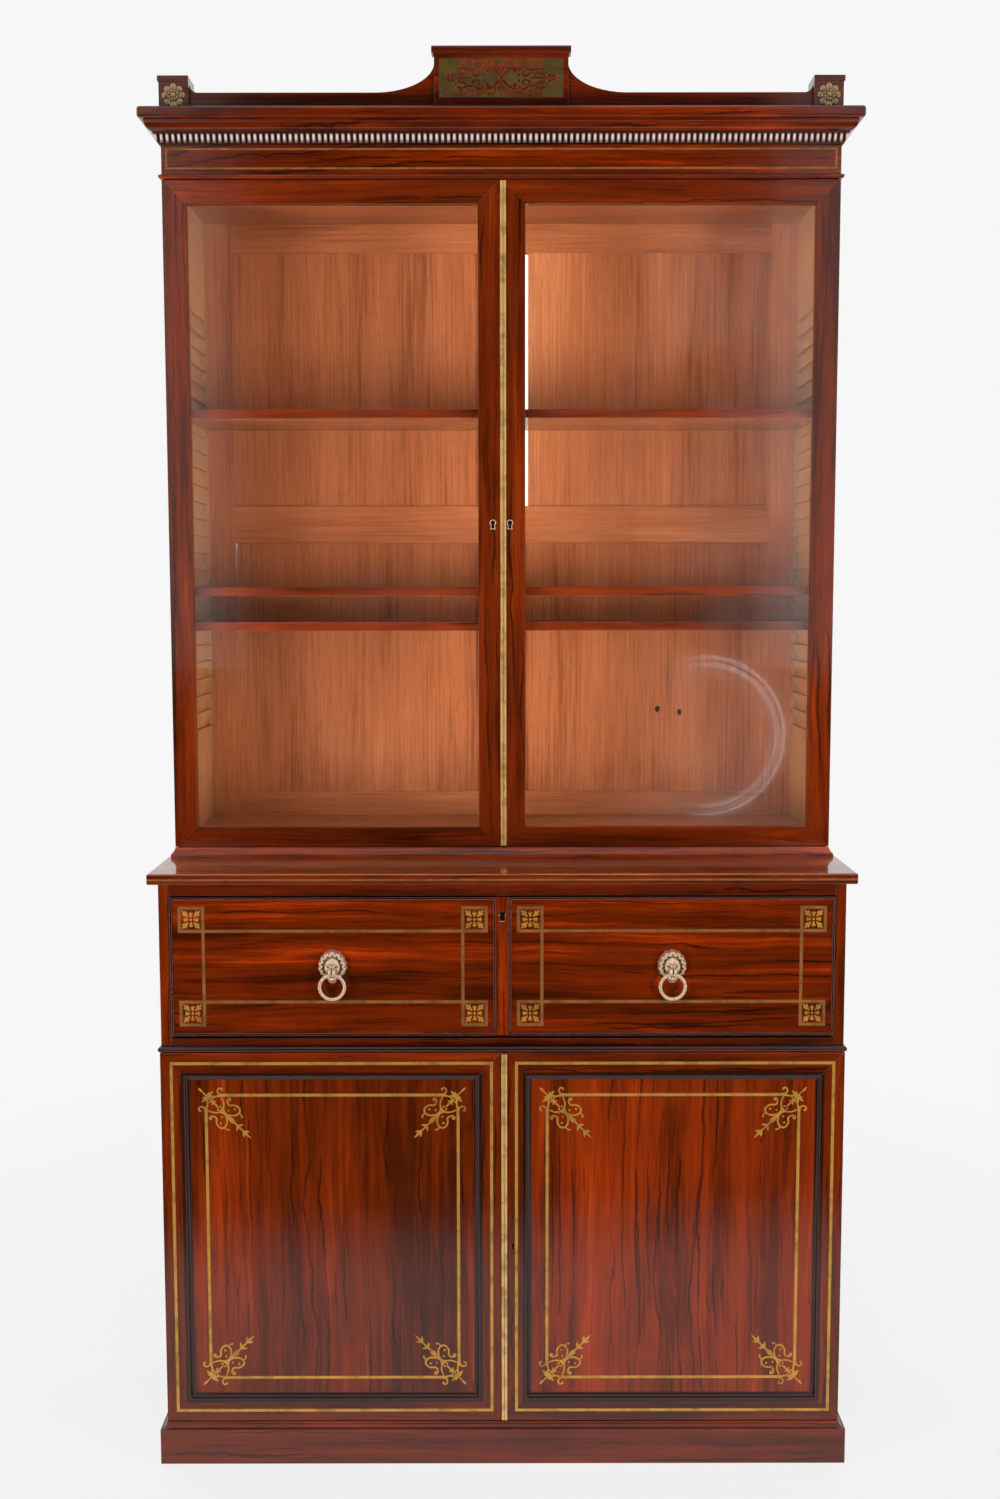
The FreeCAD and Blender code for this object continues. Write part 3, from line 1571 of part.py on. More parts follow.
def main():
    save("plinth_frame", plinth_frame())
    save("plinth_moulding", plinth_moulding())
    save("lower_side_right", [lower_side()])
    save("lower_side_left", [flip(lower_side())])
    save("lower_bottom_board", lower_bottom_board())
    save("waist_board", waist_board())
    save("waist_bead", waist_bead())
    save("top_rails", top_rails())
    save("desk_top", desk_top())
    save("drawer_guides", drawer_guides())
    save("lower_back", lower_back())
    save("cupboard_shelf", cupboard_shelf())
    save("carcase_brass", carcase_brass())
    save("upper_side_right", [upper_side()])
    save("upper_side_left", [flip(upper_side())])
    save("upper_boards", upper_boards())
    save("upper_back_frame", upper_back_frame())
    save("upper_back_panels", upper_back_panels())
    save("book_shelves", book_shelves())
    save("frieze", frieze())
    save("necking_bead", necking_bead())
    save("bead_row", bead_row())
    save("cornice_moulding", cornice_moulding())
    save("cornice_top", cornice_top())
    save("base_moulding", base_moulding())
    save("gallery_boards", gallery_boards())
    save("gallery_tablet", gallery_tablet())
    save("gallery_brass", tablet_plate() + pair(rosette()))
    save("corner_blocks", corner_blocks())
    save("upper_door_left_frame", upper_left_frame())
    save("upper_door_left_glass", upper_door_glass(-half_upper, left_door_edge))
    save("upper_door_left_brass", upper_left_brass())
    save("upper_door_left_bolt",
         flush_bolt(left_door_edge, upper_front + upper_bolt_y(), upper_door_top))
    save("upper_door_right_frame", upper_right_frame())
    save("upper_door_right_glass", upper_door_glass(right_door_edge, half_upper))
    save("upper_door_right_brass", upper_right_brass())
    save("upper_astragal", astragal(upper_front, upper_door_bottom, upper_door_top))
    save("upper_lock_bolt", [door_bolt(upper_lock_x(), upper_lock_z(), upper_front, 0)])
    save("lower_door_left_frame", lower_left_frame())
    save("lower_door_left_panel", lower_door_panel(-half_lower, left_door_edge))
    save("lower_door_left_brass", lower_left_brass())
    save("lower_door_left_bolt",
         flush_bolt(left_door_edge, lower_front + lower_bolt_y(), lower_door_top))
    save("lower_door_right_frame", lower_right_frame())
    save("lower_door_right_panel", lower_door_panel(right_door_edge, half_lower))
    save("lower_door_right_brass", lower_right_brass())
    save("lower_astragal", astragal(lower_front, lower_door_bottom, lower_door_top))
    save("lower_lock_bolt", [door_bolt(lower_lock_x(), lower_lock_z(), lower_front, 0)])
    save("drawer_case", drawer_case())
    save("drawer_brass", drawer_brass())
    save("pigeonhole_case", pigeonhole_case())
    save("small_drawer_right", small_drawer())
    save("small_drawer_left", [flip(solid) for solid in small_drawer()])
    save("fall_board", fall_board())
    save("fall_beads", pair(cockbead()))
    save("fall_brass", fall_brass())
    save("fall_leather", [leather_box()])
    save("fall_lock_bolt", fall_lock_bolt())
    save("lion_masks", pair(lion_mask()) + pair(mask_nut()))
    save("ring_pull_right", [ring_pull()])
    save("ring_pull_left", [flip(ring_pull())])


main()
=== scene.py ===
import math

import bmesh
import bpy
from mathutils import Matrix, Vector


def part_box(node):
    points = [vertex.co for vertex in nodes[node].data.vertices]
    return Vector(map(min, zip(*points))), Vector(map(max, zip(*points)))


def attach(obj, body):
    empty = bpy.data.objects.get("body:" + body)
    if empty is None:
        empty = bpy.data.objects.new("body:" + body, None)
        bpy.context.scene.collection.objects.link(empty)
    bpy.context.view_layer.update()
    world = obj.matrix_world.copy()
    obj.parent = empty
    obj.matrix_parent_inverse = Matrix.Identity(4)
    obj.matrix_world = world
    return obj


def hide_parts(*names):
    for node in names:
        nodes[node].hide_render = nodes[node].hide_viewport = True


# The looks of a two-stage secretaire bookcase, in metres. The front faces -Y.

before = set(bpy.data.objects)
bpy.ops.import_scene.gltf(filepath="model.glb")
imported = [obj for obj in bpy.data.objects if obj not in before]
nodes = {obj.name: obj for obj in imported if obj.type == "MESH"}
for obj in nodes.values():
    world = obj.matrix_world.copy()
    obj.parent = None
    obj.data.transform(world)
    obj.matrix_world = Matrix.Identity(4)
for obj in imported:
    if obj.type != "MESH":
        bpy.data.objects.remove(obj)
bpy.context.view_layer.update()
side_signs = {"left": -1, "right": 1}
millimetre = 0.001

# Camera
camera_place = (-0.0053, -2.8910, 1.5094)
camera_pitch = math.radians(5.537)
camera_yaw = math.radians(0.037)
camera_roll = math.radians(0.069)
camera_lens = 38.48
camera_sensor = 36.0

# Lamps, each with its place, size and power
lamp_aim = (0.0, -0.1, 1.25)
lamps = (
    ("left_light", (-2.60, -2.90, 0.70), (1.0, 1.7), 118.0),
    ("right_light", (2.60, -2.90, 0.70), (1.0, 1.7), 118.0),
    ("back_left_light", (-2.6, 3.0, 2.2), (1.6, 1.6), 60.0),
    ("back_right_light", (2.6, 3.0, 2.2), (1.6, 1.6), 60.0),
    ("front_light", (0.0, -2.6, 4.6), (2.2, 1.0), 30.0),
)

# Light from all round, and what the polish mirrors. A pair says where a change starts and ends.
background_level = 0.93
ambient_level = 0.12
studio_dark = 0.008
studio_gap = (0.140, 0.195)
studio_ceiling = (0.35, 0.60)
floor_size = 60.0
floor_glow = 0.80
floor_catch = 0.14
floor_clear = (0.9, 3.0)
sweep_front = -1.19
sweep_slant = 0.10
sweep_fade = 0.30
sweep_side = (1.0, 1.8)
sweep_side_spread = 0.35

# Sizes shared with the solids
board_skin = 0.003
panel_tongue = 0.008
string_width = 0.005
inner_string_inset = 0.033
square_size = 0.045
square_inset_side = 0.014
square_inset_end = 0.016
centre_stile_half = 0.011
mask_rise = 0.120
mask_nut_half = 0.005
mask_nut_thickness = 0.005
mask_nut_depth = 0.007
mouth_drop = 0.011
mouth_depth = 0.0155
mouth_radius = 0.0046
back_stile = 0.049
back_muntin_half = 0.045
astragal_width = 0.0055
# Widths of a door's outer stile, meeting stile, bottom rail and top rail
upper_door_widths = (0.040, 0.038, 0.0345, 0.040)
lower_door_widths = (0.040, 0.038, 0.039, 0.041)

# How deep the outer wood goes, from the front of each piece
door_skin = 0.018
panel_skin = 0.004
fall_skin = 0.012
small_drawer_skin = 0.024
# Depth of the paler wood with painted light on the desk's top face
lit_top_skin = 0.0015

# Keyholes as (across, face, height); round marks as (across, height, radius)
keyholes = ((-0.0155, -0.0605, 1.6315), (0.0145, -0.0605, 1.6315), (0.0, -0.2065, 0.9640), (0.0180, -0.2175, 0.3890))
plated_keyholes = keyholes[:3]
mock_keyhole = ((-0.0155, 1.6360, 0.0036), (-0.0155, 1.6315, 0.0026), (-0.0155, 1.6270, 0.0034))
old_hole = (0.0180, 0.4390, 0.0019)
back_marks = ((0.303, 1.287, 0.0050), (0.346, 1.281, 0.0045))
glass_smear = (0.362, 1.257)
plate_reach = 0.003
pin_margin = 0.003
keyhole_half_width = 0.0048
keyhole_half_height = 0.0085
# Depth behind a keyhole's face where its painted shade begins
keyhole_shade_depth = 0.0012

# Edges and beads: rounding of arrises, painted shade round openings, and painted highlights on arrises and bead
# crowns
dark_edge = 0.0065
edge_wear = 0.0012
# How strongly the painted highlight is laid along the arrises
arris_highlight_strength = 0.30
bead_foot_height = 0.0025
bead_foot_out = 0.0015
bead_height = 0.0150
bead_lean = 0.4333
bead_crown = (0.0027, 0.0034)

# Wood and polish. A shift keeps the grain of one direction from repeating another's.
level_grain_shift = 3.7
deep_grain_shift = 7.1
rosewood_gloss = 0.9
veneer_gloss = 0.8
back_gloss = 0.35
plain_gloss = 0.25
polish_index = 1.5
polish_roughness = 0.09
bead_polish_roughness = 0.16
wood_shine = 0.03
wave_depth = 0.0012
grain_depth = 0.00012
grain_strength = 0.35

# Glass, metal and inlay
glass_index = 1.38
glass_roughness = 0.015
brass_metal = 0.5
gilt_metal = 0.7
hollow_reach = 0.004
inlay_rise = 0.0002
inlay_sink = 0.0006
stroke_step = 0.000002
star_step = 0.000003
corner_boldness = 1.08
scroll_boldness = 1.5


def tint(red, green, blue):
    """A colour written as it looks on a screen, turned into light levels."""
    levels = []
    for value in (red, green, blue):
        share = value / 255
        levels.append(share / 12.92 if share <= 0.04045 else ((share + 0.055) / 1.055) ** 2.4)
    return (*levels, 1.0)


# Dark spots: painted shade where they stand for holes, and stains where they are marks
spot_shade_and_stain = tint(22, 12, 8)
# Painted shade in the recessed moulding round the lower door openings
recess_shade_tint = tint(20, 13, 9)
# Colour of the painted highlight along the arrises
arris_highlight_tint = tint(150, 108, 104)
# Colour of the painted highlight on the bead crowns
bead_highlight_tint = tint(204, 176, 168)
handled_brass = tint(226, 204, 164)
# Painted shade inside the keyholes
keyhole_shade_tint = tint(16, 10, 7)

# Shades of each wood: dark, middle, light and the black of its lines
rosewood_tones = {
    "upper": ((62, 19, 2), (97, 31, 5), (136, 48, 10), (26, 9, 2)),
    "red": ((50, 13, 0), (90, 25, 0), (154, 46, 4), (24, 7, 1)),
    "bright": ((72, 21, 1), (124, 37, 2), (164, 54, 8), (28, 8, 1)),
    "dark": ((24, 8, 2), (50, 15, 4), (80, 25, 6), (14, 6, 2)),
    "rail": ((42, 12, 2), (80, 23, 3), (116, 38, 8), (20, 7, 2)),
    # Painted shade: a darker rosewood for the gallery, which the cornice shades
    "gallery": ((52, 15, 4), (88, 26, 6), (120, 40, 9), (24, 8, 3)),
    # Painted light: a paler rosewood for the desk's top face
    "lit_top": ((132, 60, 26), (180, 94, 46), (210, 122, 64), (66, 32, 15)),
    # Painted light: a much paler rosewood for the base moulding
    "base": ((96, 32, 8), (156, 58, 20), (194, 82, 34), (44, 16, 7)),
    "warm": ((74, 22, 2), (114, 35, 3), (150, 50, 7), (28, 9, 2)),
    "lower": ((58, 17, 1), (92, 28, 1), (132, 43, 4), (24, 8, 2)),
}
mahogany_tones = {
    "back": ((122, 64, 34), (160, 92, 54), (190, 120, 76), (78, 38, 20)),
    "side": ((140, 92, 52), (174, 120, 72), (198, 146, 94), (98, 60, 34)),
    "drawer": ((124, 68, 34), (164, 100, 54), (192, 130, 78), (84, 44, 22)),
}


# Shader building

numbers, vectors, colours = range(3)  # what can be mixed


class Value:
    """A number that nodes work out, open to plain arithmetic."""

    def __init__(self, owner, socket):
        self.owner = owner
        self.socket = socket

    def __abs__(self):
        return self.owner.math("ABSOLUTE", self)

    def clamped(self):
        """The same number, kept between 0 and 1."""
        self.socket.node.use_clamp = True
        return self


def arithmetic(kind, turned=False):
    """The work of one sign; turned is for a plain number on the sign's left."""
    def work(value, other):
        return value.owner.math(kind, *((other, value) if turned else (value, other)))

    return work


for sign, kind in (("add", "ADD"), ("sub", "SUBTRACT"), ("mul", "MULTIPLY"), ("truediv", "DIVIDE")):
    setattr(Value, f"__{sign}__", arithmetic(kind))
    setattr(Value, f"__r{sign}__", arithmetic(kind, True))
for sign, kind in (("pow", "POWER"), ("gt", "GREATER_THAN"), ("lt", "LESS_THAN")):
    setattr(Value, f"__{sign}__", arithmetic(kind))


class Nodes:
    """A node tree, with one short call for each kind of node used here."""

    def __init__(self, tree, kind="Object"):
        """point, x, y and z say where a point lies, in the part's own frame."""
        self.tree = tree
        self.point = self.node("ShaderNodeTexCoord").outputs[kind]
        self.x, self.y, self.z = self.split(self.point)

    def feed(self, socket, value):
        if isinstance(value, Value):
            value = value.socket
        if isinstance(value, bpy.types.NodeSocket):
            self.tree.links.new(value, socket)
        else:
            socket.default_value = value

    def node(self, kind, *values, **settings):
        made = self.tree.nodes.new(kind)
        for name, value in settings.items():
            setattr(made, name, value)
        for socket, value in zip(made.inputs, values):
            self.feed(socket, value)
        return made

    def put(self, made, **values):
        """Feeds a node's inputs by name."""
        for name, value in values.items():
            self.feed(made.inputs[name.replace("_", " ")], value)
        return made

    def math(self, operation, *values):
        return Value(self, self.node("ShaderNodeMath", *values, operation=operation).outputs[0])

    def larger(self, first, second):
        return self.math("MAXIMUM", first, second)

    def smaller(self, first, second):
        return self.math("MINIMUM", first, second)

    def mix(self, share, first, second, kind=colours):
        """first where share is 0, second where it is 1."""
        made = self.node("ShaderNodeMix", share, data_type=("FLOAT", "VECTOR", "RGBA")[kind])
        self.feed(made.inputs[2 * kind + 2], first)
        self.feed(made.inputs[2 * kind + 3], second)
        return made.outputs[kind]

    def mix_shaders(self, share, first, second):
        return self.node("ShaderNodeMixShader", share, first, second).outputs[0]

    def glow(self, strength):
        return self.put(self.node("ShaderNodeEmission"), Strength=strength).outputs[0]

    def ramp(self, value, low, high, low_result=0.0, high_result=1.0):
        made = self.node("ShaderNodeMapRange", value, low, high, low_result, high_result,
                         interpolation_type="SMOOTHSTEP")
        return Value(self, made.outputs[0])

    def split(self, vector):
        return [Value(self, socket) for socket in self.node("ShaderNodeSeparateXYZ", vector).outputs]

    def vector(self, x, y, z):
        return self.node("ShaderNodeCombineXYZ", x, y, z).outputs[0]

    def scaled(self, vector, scale, shift=(0, 0, 0)):
        return self.put(self.node("ShaderNodeMapping", vector), Scale=scale, Location=shift).outputs[0]

    def noise(self, vector, scale, shift=(0, 0, 0), detail=2.0, roughness=0.5, distortion=0.0):
        made = self.node("ShaderNodeTexNoise", self.scaled(vector, scale, shift))
        self.put(made, Scale=1.0, Detail=detail, Roughness=roughness, Distortion=distortion)
        return Value(self, made.outputs[0])

    def bump(self, height, depth, strength=1.0, under=None):
        made = self.put(self.node("ShaderNodeBump"), Strength=strength, Distance=depth, Height=height)
        if under is not None:
            self.put(made, Normal=under)
        return made.outputs[0]

    def soft_edges(self, radius):
        return self.node("ShaderNodeBevel", radius, samples=3).outputs[0]


class Shader(Nodes):
    """A material and its nodes."""

    def __init__(self, name):
        self.material = bpy.data.materials.new(name)
        self.material.use_nodes = True
        super().__init__(self.material.node_tree)
        self.surface = self.tree.nodes["Principled BSDF"]

    def set(self, **values):
        self.put(self.surface, **values)


# Grain directions. Each gives two across-the-grain measures and one along it.

def grain_z(shader):
    return shader.point


def grain_x(shader):
    return shader.vector(shader.z + level_grain_shift, shader.y, shader.x)


def grain_y(shader):
    return shader.vector(shader.z + deep_grain_shift, shader.x, shader.y)


def frame_grain(outer, inner):
    """Upright grain in the stiles and level grain in the rails, parted at the mitres."""
    (x0, z0), (x1, z1) = outer
    (u0, w0), (u1, w1) = inner

    def grain(shader):
        x, z = shader.x, shader.z
        side = shader.smaller((x - x0) / (u0 - x0), (x1 - x) / (x1 - u1))
        rail = shader.smaller((z - z0) / (w0 - z0), (z1 - z) / (z1 - w1))
        return shader.mix(rail < side, grain_z(shader), grain_x(shader), vectors)

    return grain


def run_grain(half, front):
    """Grain along a moulding or board that runs round the front and both ends."""
    def grain(shader):
        round_the_end = abs(shader.x) - half > front - shader.y
        return shader.mix(round_the_end, grain_x(shader), grain_y(shader), vectors)

    return grain


def back_frame_grain(shader):
    """Upright grain in the back's stiles and muntins, level grain in its rails."""
    away = abs(shader.x)
    level = (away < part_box("upper_back_frame")[1].x - back_stile) * (away > back_muntin_half)
    return shader.mix(level, grain_z(shader), grain_x(shader), vectors)


# Woods. Each gives a colour, a roughness and a height for the bump.

def wood_colour(shader, shades, level, line, line_strength):
    dark, middle, light, black = shades
    colour = shader.mix(shader.ramp(level, 0.34, 0.54), dark, middle)
    colour = shader.mix(shader.ramp(level, 0.52, 0.76), colour, light)
    return shader.mix(line * line_strength, colour, black)


def wandering(shader, across, seed, reach):
    """Distance across the grain, bent so that what follows it wanders along the board."""
    side, deep = shader.split(across)[:2]
    slow = shader.noise(across, (5, 5, 1.3), (seed, 0, 0), 1.0)
    quick = shader.noise(across, (16, 16, 9), (0, seed, 0), 3.0, 0.6)
    return side + deep * 0.6 + (slow * reach + quick * (0.3 * reach))


def stray_lines(shader, across, seed, spacing, reach):
    """Thin inky lines, unevenly apart, that come and go along the board."""
    place = wandering(shader, across, seed, reach)
    cells = shader.node("ShaderNodeTexVoronoi", voronoi_dimensions="1D", feature="DISTANCE_TO_EDGE")
    shader.put(cells, W=place + seed * 0.37, Scale=1.0 / spacing)
    away = Value(shader, cells.outputs["Distance"]) * spacing
    here = shader.noise(across, (11, 11, 3.1), (seed, 7, 0), 4.0, 0.6)
    line = (1.0 - away / shader.ramp(here, 0.46, 0.68, 0.0006, 0.0030)).clamped()
    return line ** 0.7 * shader.ramp(here, 0.46, 0.60)


def rosewood_layers(shader, grain, tone, seed, figure=1.0):
    """Fine streaks and soft dark bands over a red-brown ground, with stray inky lines."""
    shades = [tint(*shade) for shade in rosewood_tones[tone]]
    across = grain(shader)
    first = stray_lines(shader, across, seed, 0.024 / figure, 0.060)
    second = stray_lines(shader, across, seed + 4.3, 0.040 / figure, 0.100)
    sheet = shader.vector(wandering(shader, across, seed + 2.1, 0.040), *shader.split(across)[1:])
    band = shader.noise(sheet, (17, 8, 1.4), (seed, 2, 8), 3.0, 0.6)
    medium = shader.noise(sheet, (75, 30, 2.6), (3, seed, 0), 3.0, 0.6)
    streak = shader.noise(sheet, (260, 90, 5.5), (0, seed, 0), 4.0, 0.7)
    mottle = shader.noise(sheet, (30, 14, 9), (seed, 9, 4), 3.0, 0.6)
    level = medium * 0.42 + streak * 0.40 + band * 0.70 + mottle * 0.22 - 0.375
    colour = wood_colour(shader, shades, level, shader.larger(first, second), 0.85)
    pores = shader.ramp(shader.noise(across, (1300, 1300, 40), (0, 0, seed), 2.0, 0.6), 0.58, 0.74)
    colour = shader.mix(pores * 0.35, colour, shades[-1])
    return colour, shader.ramp(medium, 0.3, 0.7, 0.30, 0.40), streak * 0.5 - pores


def mahogany_layers(shader, grain, tone, seed):
    """Even, satin, fine-grained wood with short dark flecks and slow changes of shade."""
    shades = [tint(*shade) for shade in mahogany_tones[tone]]
    across = grain(shader)
    slow = shader.noise(across, (9, 9, 1.1), (seed, 0, 4), 4.0, 0.6, 0.3)
    fine = shader.noise(across, (260, 260, 5), (seed, 3, 0), 3.0, 0.65)
    fleck = shader.ramp(shader.noise(across, (1100, 1100, 60), (0, seed, 0)), 0.58, 0.72)
    colour = wood_colour(shader, shades, slow * 0.62 + fine * 0.40, fleck, 0.45)
    return colour, shader.ramp(slow, 0.3, 0.7, 0.38, 0.5), fine * 0.6 - fleck


def mix_layers(shader, share, first, second):
    kinds = (colours, numbers, numbers)
    return [shader.mix(share, one, other, kind) for one, other, kind in zip(first, second, kinds)]


def with_spots(shader, layers, spots, stretch):
    """The layers with small dark spots; stretch makes them taller."""
    colour, rough, height = layers
    ragged = shader.noise(shader.point, (260, 260, 160), detail=3.0, roughness=0.6)
    for x, z, radius in spots:
        away = ((shader.x - x) ** 2.0 + ((shader.z - z) / stretch) ** 2.0) ** 0.5 / radius
        dark = shader.ramp(away + ragged, 1.55, 1.25)
        colour = shader.mix(dark * 0.92, colour, spot_shade_and_stain)
    return colour, rough, height


def with_dark_edge(shader, layers, opening):
    """The layers with painted shade: the moulding round an opening coloured nearly black."""
    colour, rough, height = layers
    x, z = shader.x, shader.z
    (u0, w0), (u1, w1) = opening
    inside_x = shader.smaller(x - (u0 - dark_edge), (u1 + dark_edge) - x)
    inside_z = shader.smaller(z - (w0 - dark_edge), (w1 + dark_edge) - z)
    shaded = shader.smaller(inside_x, inside_z) > 0.0
    return shader.mix(shaded * 0.85, colour, recess_shade_tint), rough, height


def painted_arris_highlight(shader, colour, soft_normal, strength):
    """The colour with a painted highlight: paler along the arrises, where the rounded edge turns from the flat face.
    """
    flat = shader.node("ShaderNodeNewGeometry").outputs["Normal"]
    turn = shader.node("ShaderNodeVectorMath", soft_normal, flat, operation="DOT_PRODUCT")
    share = shader.ramp(turn.outputs["Value"], 0.995, 0.88, 0.0, strength)
    return shader.mix(share, colour, arris_highlight_tint)


def polish(shader, layers, gloss, wear=edge_wear, edge_highlight=arris_highlight_strength):
    """Finishes a wood with its polish; wear is how wide its arrises are rounded, and the last argument how strongly
    a highlight is painted along them.
    """
    colour, rough, height = layers
    slow = shader.noise(shader.point, (9, 9, 9), detail=1.0)
    soft = None
    if wear:
        soft = shader.soft_edges(wear)
        # Painted highlight: a paler colour along the rounded arrises
        colour = painted_arris_highlight(shader, colour, soft, edge_highlight)
    waves = shader.bump(slow, wave_depth, grain_strength, soft)
    shader.set(Base_Color=colour, Roughness=rough, Specular_IOR_Level=wood_shine,
               Normal=shader.bump(height, grain_depth, grain_strength, waves),
               Coat_Weight=gloss, Coat_Roughness=polish_roughness if wear else bead_polish_roughness,
               Coat_IOR=polish_index, Coat_Normal=waves)
    return shader.material


def rosewood(name, grain, tone, seed, figure=1.0, wear=edge_wear, edge_highlight=arris_highlight_strength):
    shader = Shader(name)
    return polish(shader, rosewood_layers(shader, grain, tone, seed, figure), rosewood_gloss, wear, edge_highlight)


def mahogany(name, grain, tone, seed, gloss=plain_gloss, spots=()):
    shader = Shader(name)
    layers = mahogany_layers(shader, grain, tone, seed)
    return polish(shader, with_spots(shader, layers, spots, 1.5) if spots else layers, gloss)


def veneered(name, grain, tone, seed, shown, inside_tone="side", figure=1.0, spots=(), opening=None):
    """Rosewood where shown says so, and plainer wood on the faces inside."""
    shader = Shader(name)
    outside = rosewood_layers(shader, grain, tone, seed, figure)
    if opening is not None:
        outside = with_dark_edge(shader, outside, opening)
    if spots:
        outside = with_spots(shader, outside, spots, 1.0)
    inside = mahogany_layers(shader, grain, inside_tone, seed)
    return polish(shader, mix_layers(shader, shown(shader), inside, outside), veneer_gloss)


def in_front_of(limit):
    return lambda shader: shader.y < limit


def outside_or_in_front(half, front):
    return lambda shader: shader.larger(abs(shader.x) > half, shader.y < front)


def beads_with_painted_highlight(grain, half, face):
    """The leaning bead row: dark rosewood, with a painted highlight along the upper crowns of the beads."""
    shader = Shader("rosewood_beads")
    colour, rough, height = rosewood_layers(shader, grain, "dark", 5.2)
    up = shader.z - (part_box("bead_row")[0].z + bead_foot_height)
    rise = shader.larger(face - shader.y, abs(shader.x) - half) - (up * bead_lean + bead_foot_out)
    # Painted highlight: paler along each bead's crown, on its upper part
    crown = shader.ramp(rise, *bead_crown)
    foot = shader.ramp(up, bead_height * 0.05, bead_height * 0.5, 0.15, 1.0)
    head = shader.ramp(up, bead_height * 0.97, bead_height * 0.72)
    colour = shader.mix(crown * (foot * head), colour, bead_highlight_tint)
    return polish(shader, (colour, rough, height), rosewood_gloss, 0.0)


def fall_wood(limit):
    """The fall's level grain, its upright centre stile and the plainer wood behind."""
    shader = Shader("fall_wood")
    panels = rosewood_layers(shader, grain_x, "red", 15.1)
    stile = rosewood_layers(shader, grain_z, "bright", 9.1)
    inside = mahogany_layers(shader, grain_x, "drawer", 15.1)
    outside = mix_layers(shader, abs(shader.x) < centre_stile_half, panels, stile)
    return polish(shader, mix_layers(shader, shader.y < limit, inside, outside), rosewood_gloss)


def desk_wood():
    """The desk board, with painted light on its top face: a paler rosewood there."""
    shader = Shader("rosewood_desk")
    edge = rosewood_layers(shader, grain_x, "upper", 3.3)
    top = rosewood_layers(shader, grain_x, "lit_top", 3.3)
    lit_top = shader.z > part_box("desk_top")[1].z - lit_top_skin
    return polish(shader, mix_layers(shader, lit_top, edge, top), rosewood_gloss)


# Metal, glass and leather

def near_keyholes(shader, holes, reach, depth):
    """1 within reach of the keyholes and deeper than depth behind their faces."""
    share = 0.0
    for x, face, z in holes:
        near = abs(shader.x - x) < keyhole_half_width + reach
        level = abs(shader.z - z) < keyhole_half_height + reach
        share = shader.larger(share, near * level * (shader.y > face + depth))
    return share


def brass(name, clean, tarnished, rough, tarnish_start=0.42):
    """Brass with tarnish in clouds, bright where a key is turned, and with painted shade: black in the keyholes."""
    shader = Shader(name)
    cloud = shader.noise(shader.point, (38, 38, 38), detail=5.0, roughness=0.65)
    scratch = shader.noise(shader.point, (900, 900, 90))
    colour = shader.mix(shader.ramp(cloud, tarnish_start, 0.72), clean, tarnished)
    # Painted shade: black on the keyholes' walls and on what lies behind them
    keyhole_shade = shader.larger(near_keyholes(shader, keyholes, 0.0, keyhole_shade_depth),
                          near_keyholes(shader, keyholes, -pin_margin, -plate_reach))
    handled = near_keyholes(shader, plated_keyholes, plate_reach, -plate_reach) - keyhole_shade
    colour = shader.mix(handled, colour, handled_brass)
    colour = shader.mix(keyhole_shade, colour, keyhole_shade_tint)
    wear = cloud * 0.22 + scratch * 0.12
    shader.set(Base_Color=colour, Roughness=wear + (rough - 0.17), Metallic=(1.0 - keyhole_shade) * brass_metal,
               Normal=shader.bump(scratch, 0.00005, 0.4))
    return shader.material


def cast_gilt(name, clean, worn, hollow_shade_tint):
    """Chased gilt brass, with painted shade: browner and darker in its hollows."""
    shader = Shader(name)
    cloud = shader.noise(shader.point, (160, 160, 160), detail=4.0, roughness=0.6)
    # Painted shade: ambient occlusion darkens the colour in the hollows
    hollow = shader.node("ShaderNodeAmbientOcclusion", samples=6, only_local=True)
    shader.put(hollow, Distance=hollow_reach)
    open_share = shader.ramp(hollow.outputs["AO"], 0.22, 0.80)
    colour = shader.mix(open_share, hollow_shade_tint, shader.mix(cloud, clean, worn))
    shader.set(Base_Color=colour, Metallic=gilt_metal, Roughness=shader.ramp(cloud, 0.3, 0.7, 0.2, 0.36),
               Normal=shader.bump(cloud, 0.0002, 0.15))
    return shader.material


def glass(name, smear):
    """Old window glass with a little dust; smear is the centre of a wiped patch, or None. Beside the patch lies a
    haze that is dust and in part a painted reflection.
    """
    shader = Shader(name)
    dust = shader.noise(shader.point, (5, 5, 5), detail=5.0, roughness=0.7)
    grit = shader.noise(shader.point, (700, 700, 700), detail=1.0)
    veil = shader.ramp(dust, 0.42, 0.72, 0.001, 0.009) * shader.ramp(grit, 0.3, 0.8)
    if smear is not None:
        across, up = shader.x - smear[0], shader.z - smear[1]
        away = (across ** 2.0 + up ** 2.0) ** 0.5
        ring = shader.ramp(away, 0.09, 0.13) * shader.ramp(away, 0.155, 0.14)
        streaks = shader.noise(shader.vector(away * 260.0, shader.x, shader.z), (1, 1, 1))
        ring = ring * shader.ramp(streaks, 0.35, 0.7) * shader.ramp(across, -0.09, 0.06)
        # A haze over the outer part of the right-hand pane: dust, and in part a painted reflection of the studio's
        # white side
        cloud = shader.ramp(dust, 0.30, 0.60) * shader.ramp(across, -0.22, 0.02)
        veil = ring * 0.05 + (cloud * 0.010 + veil)
    ripple = shader.noise(shader.point, (6, 6, 4), detail=1.0)
    shader.set(Base_Color=tint(250, 250, 250), Roughness=glass_roughness, IOR=glass_index,
               Transmission_Weight=(1.0 - veil).clamped(), Normal=shader.bump(ripple, 0.0006, 0.25))
    return shader.material


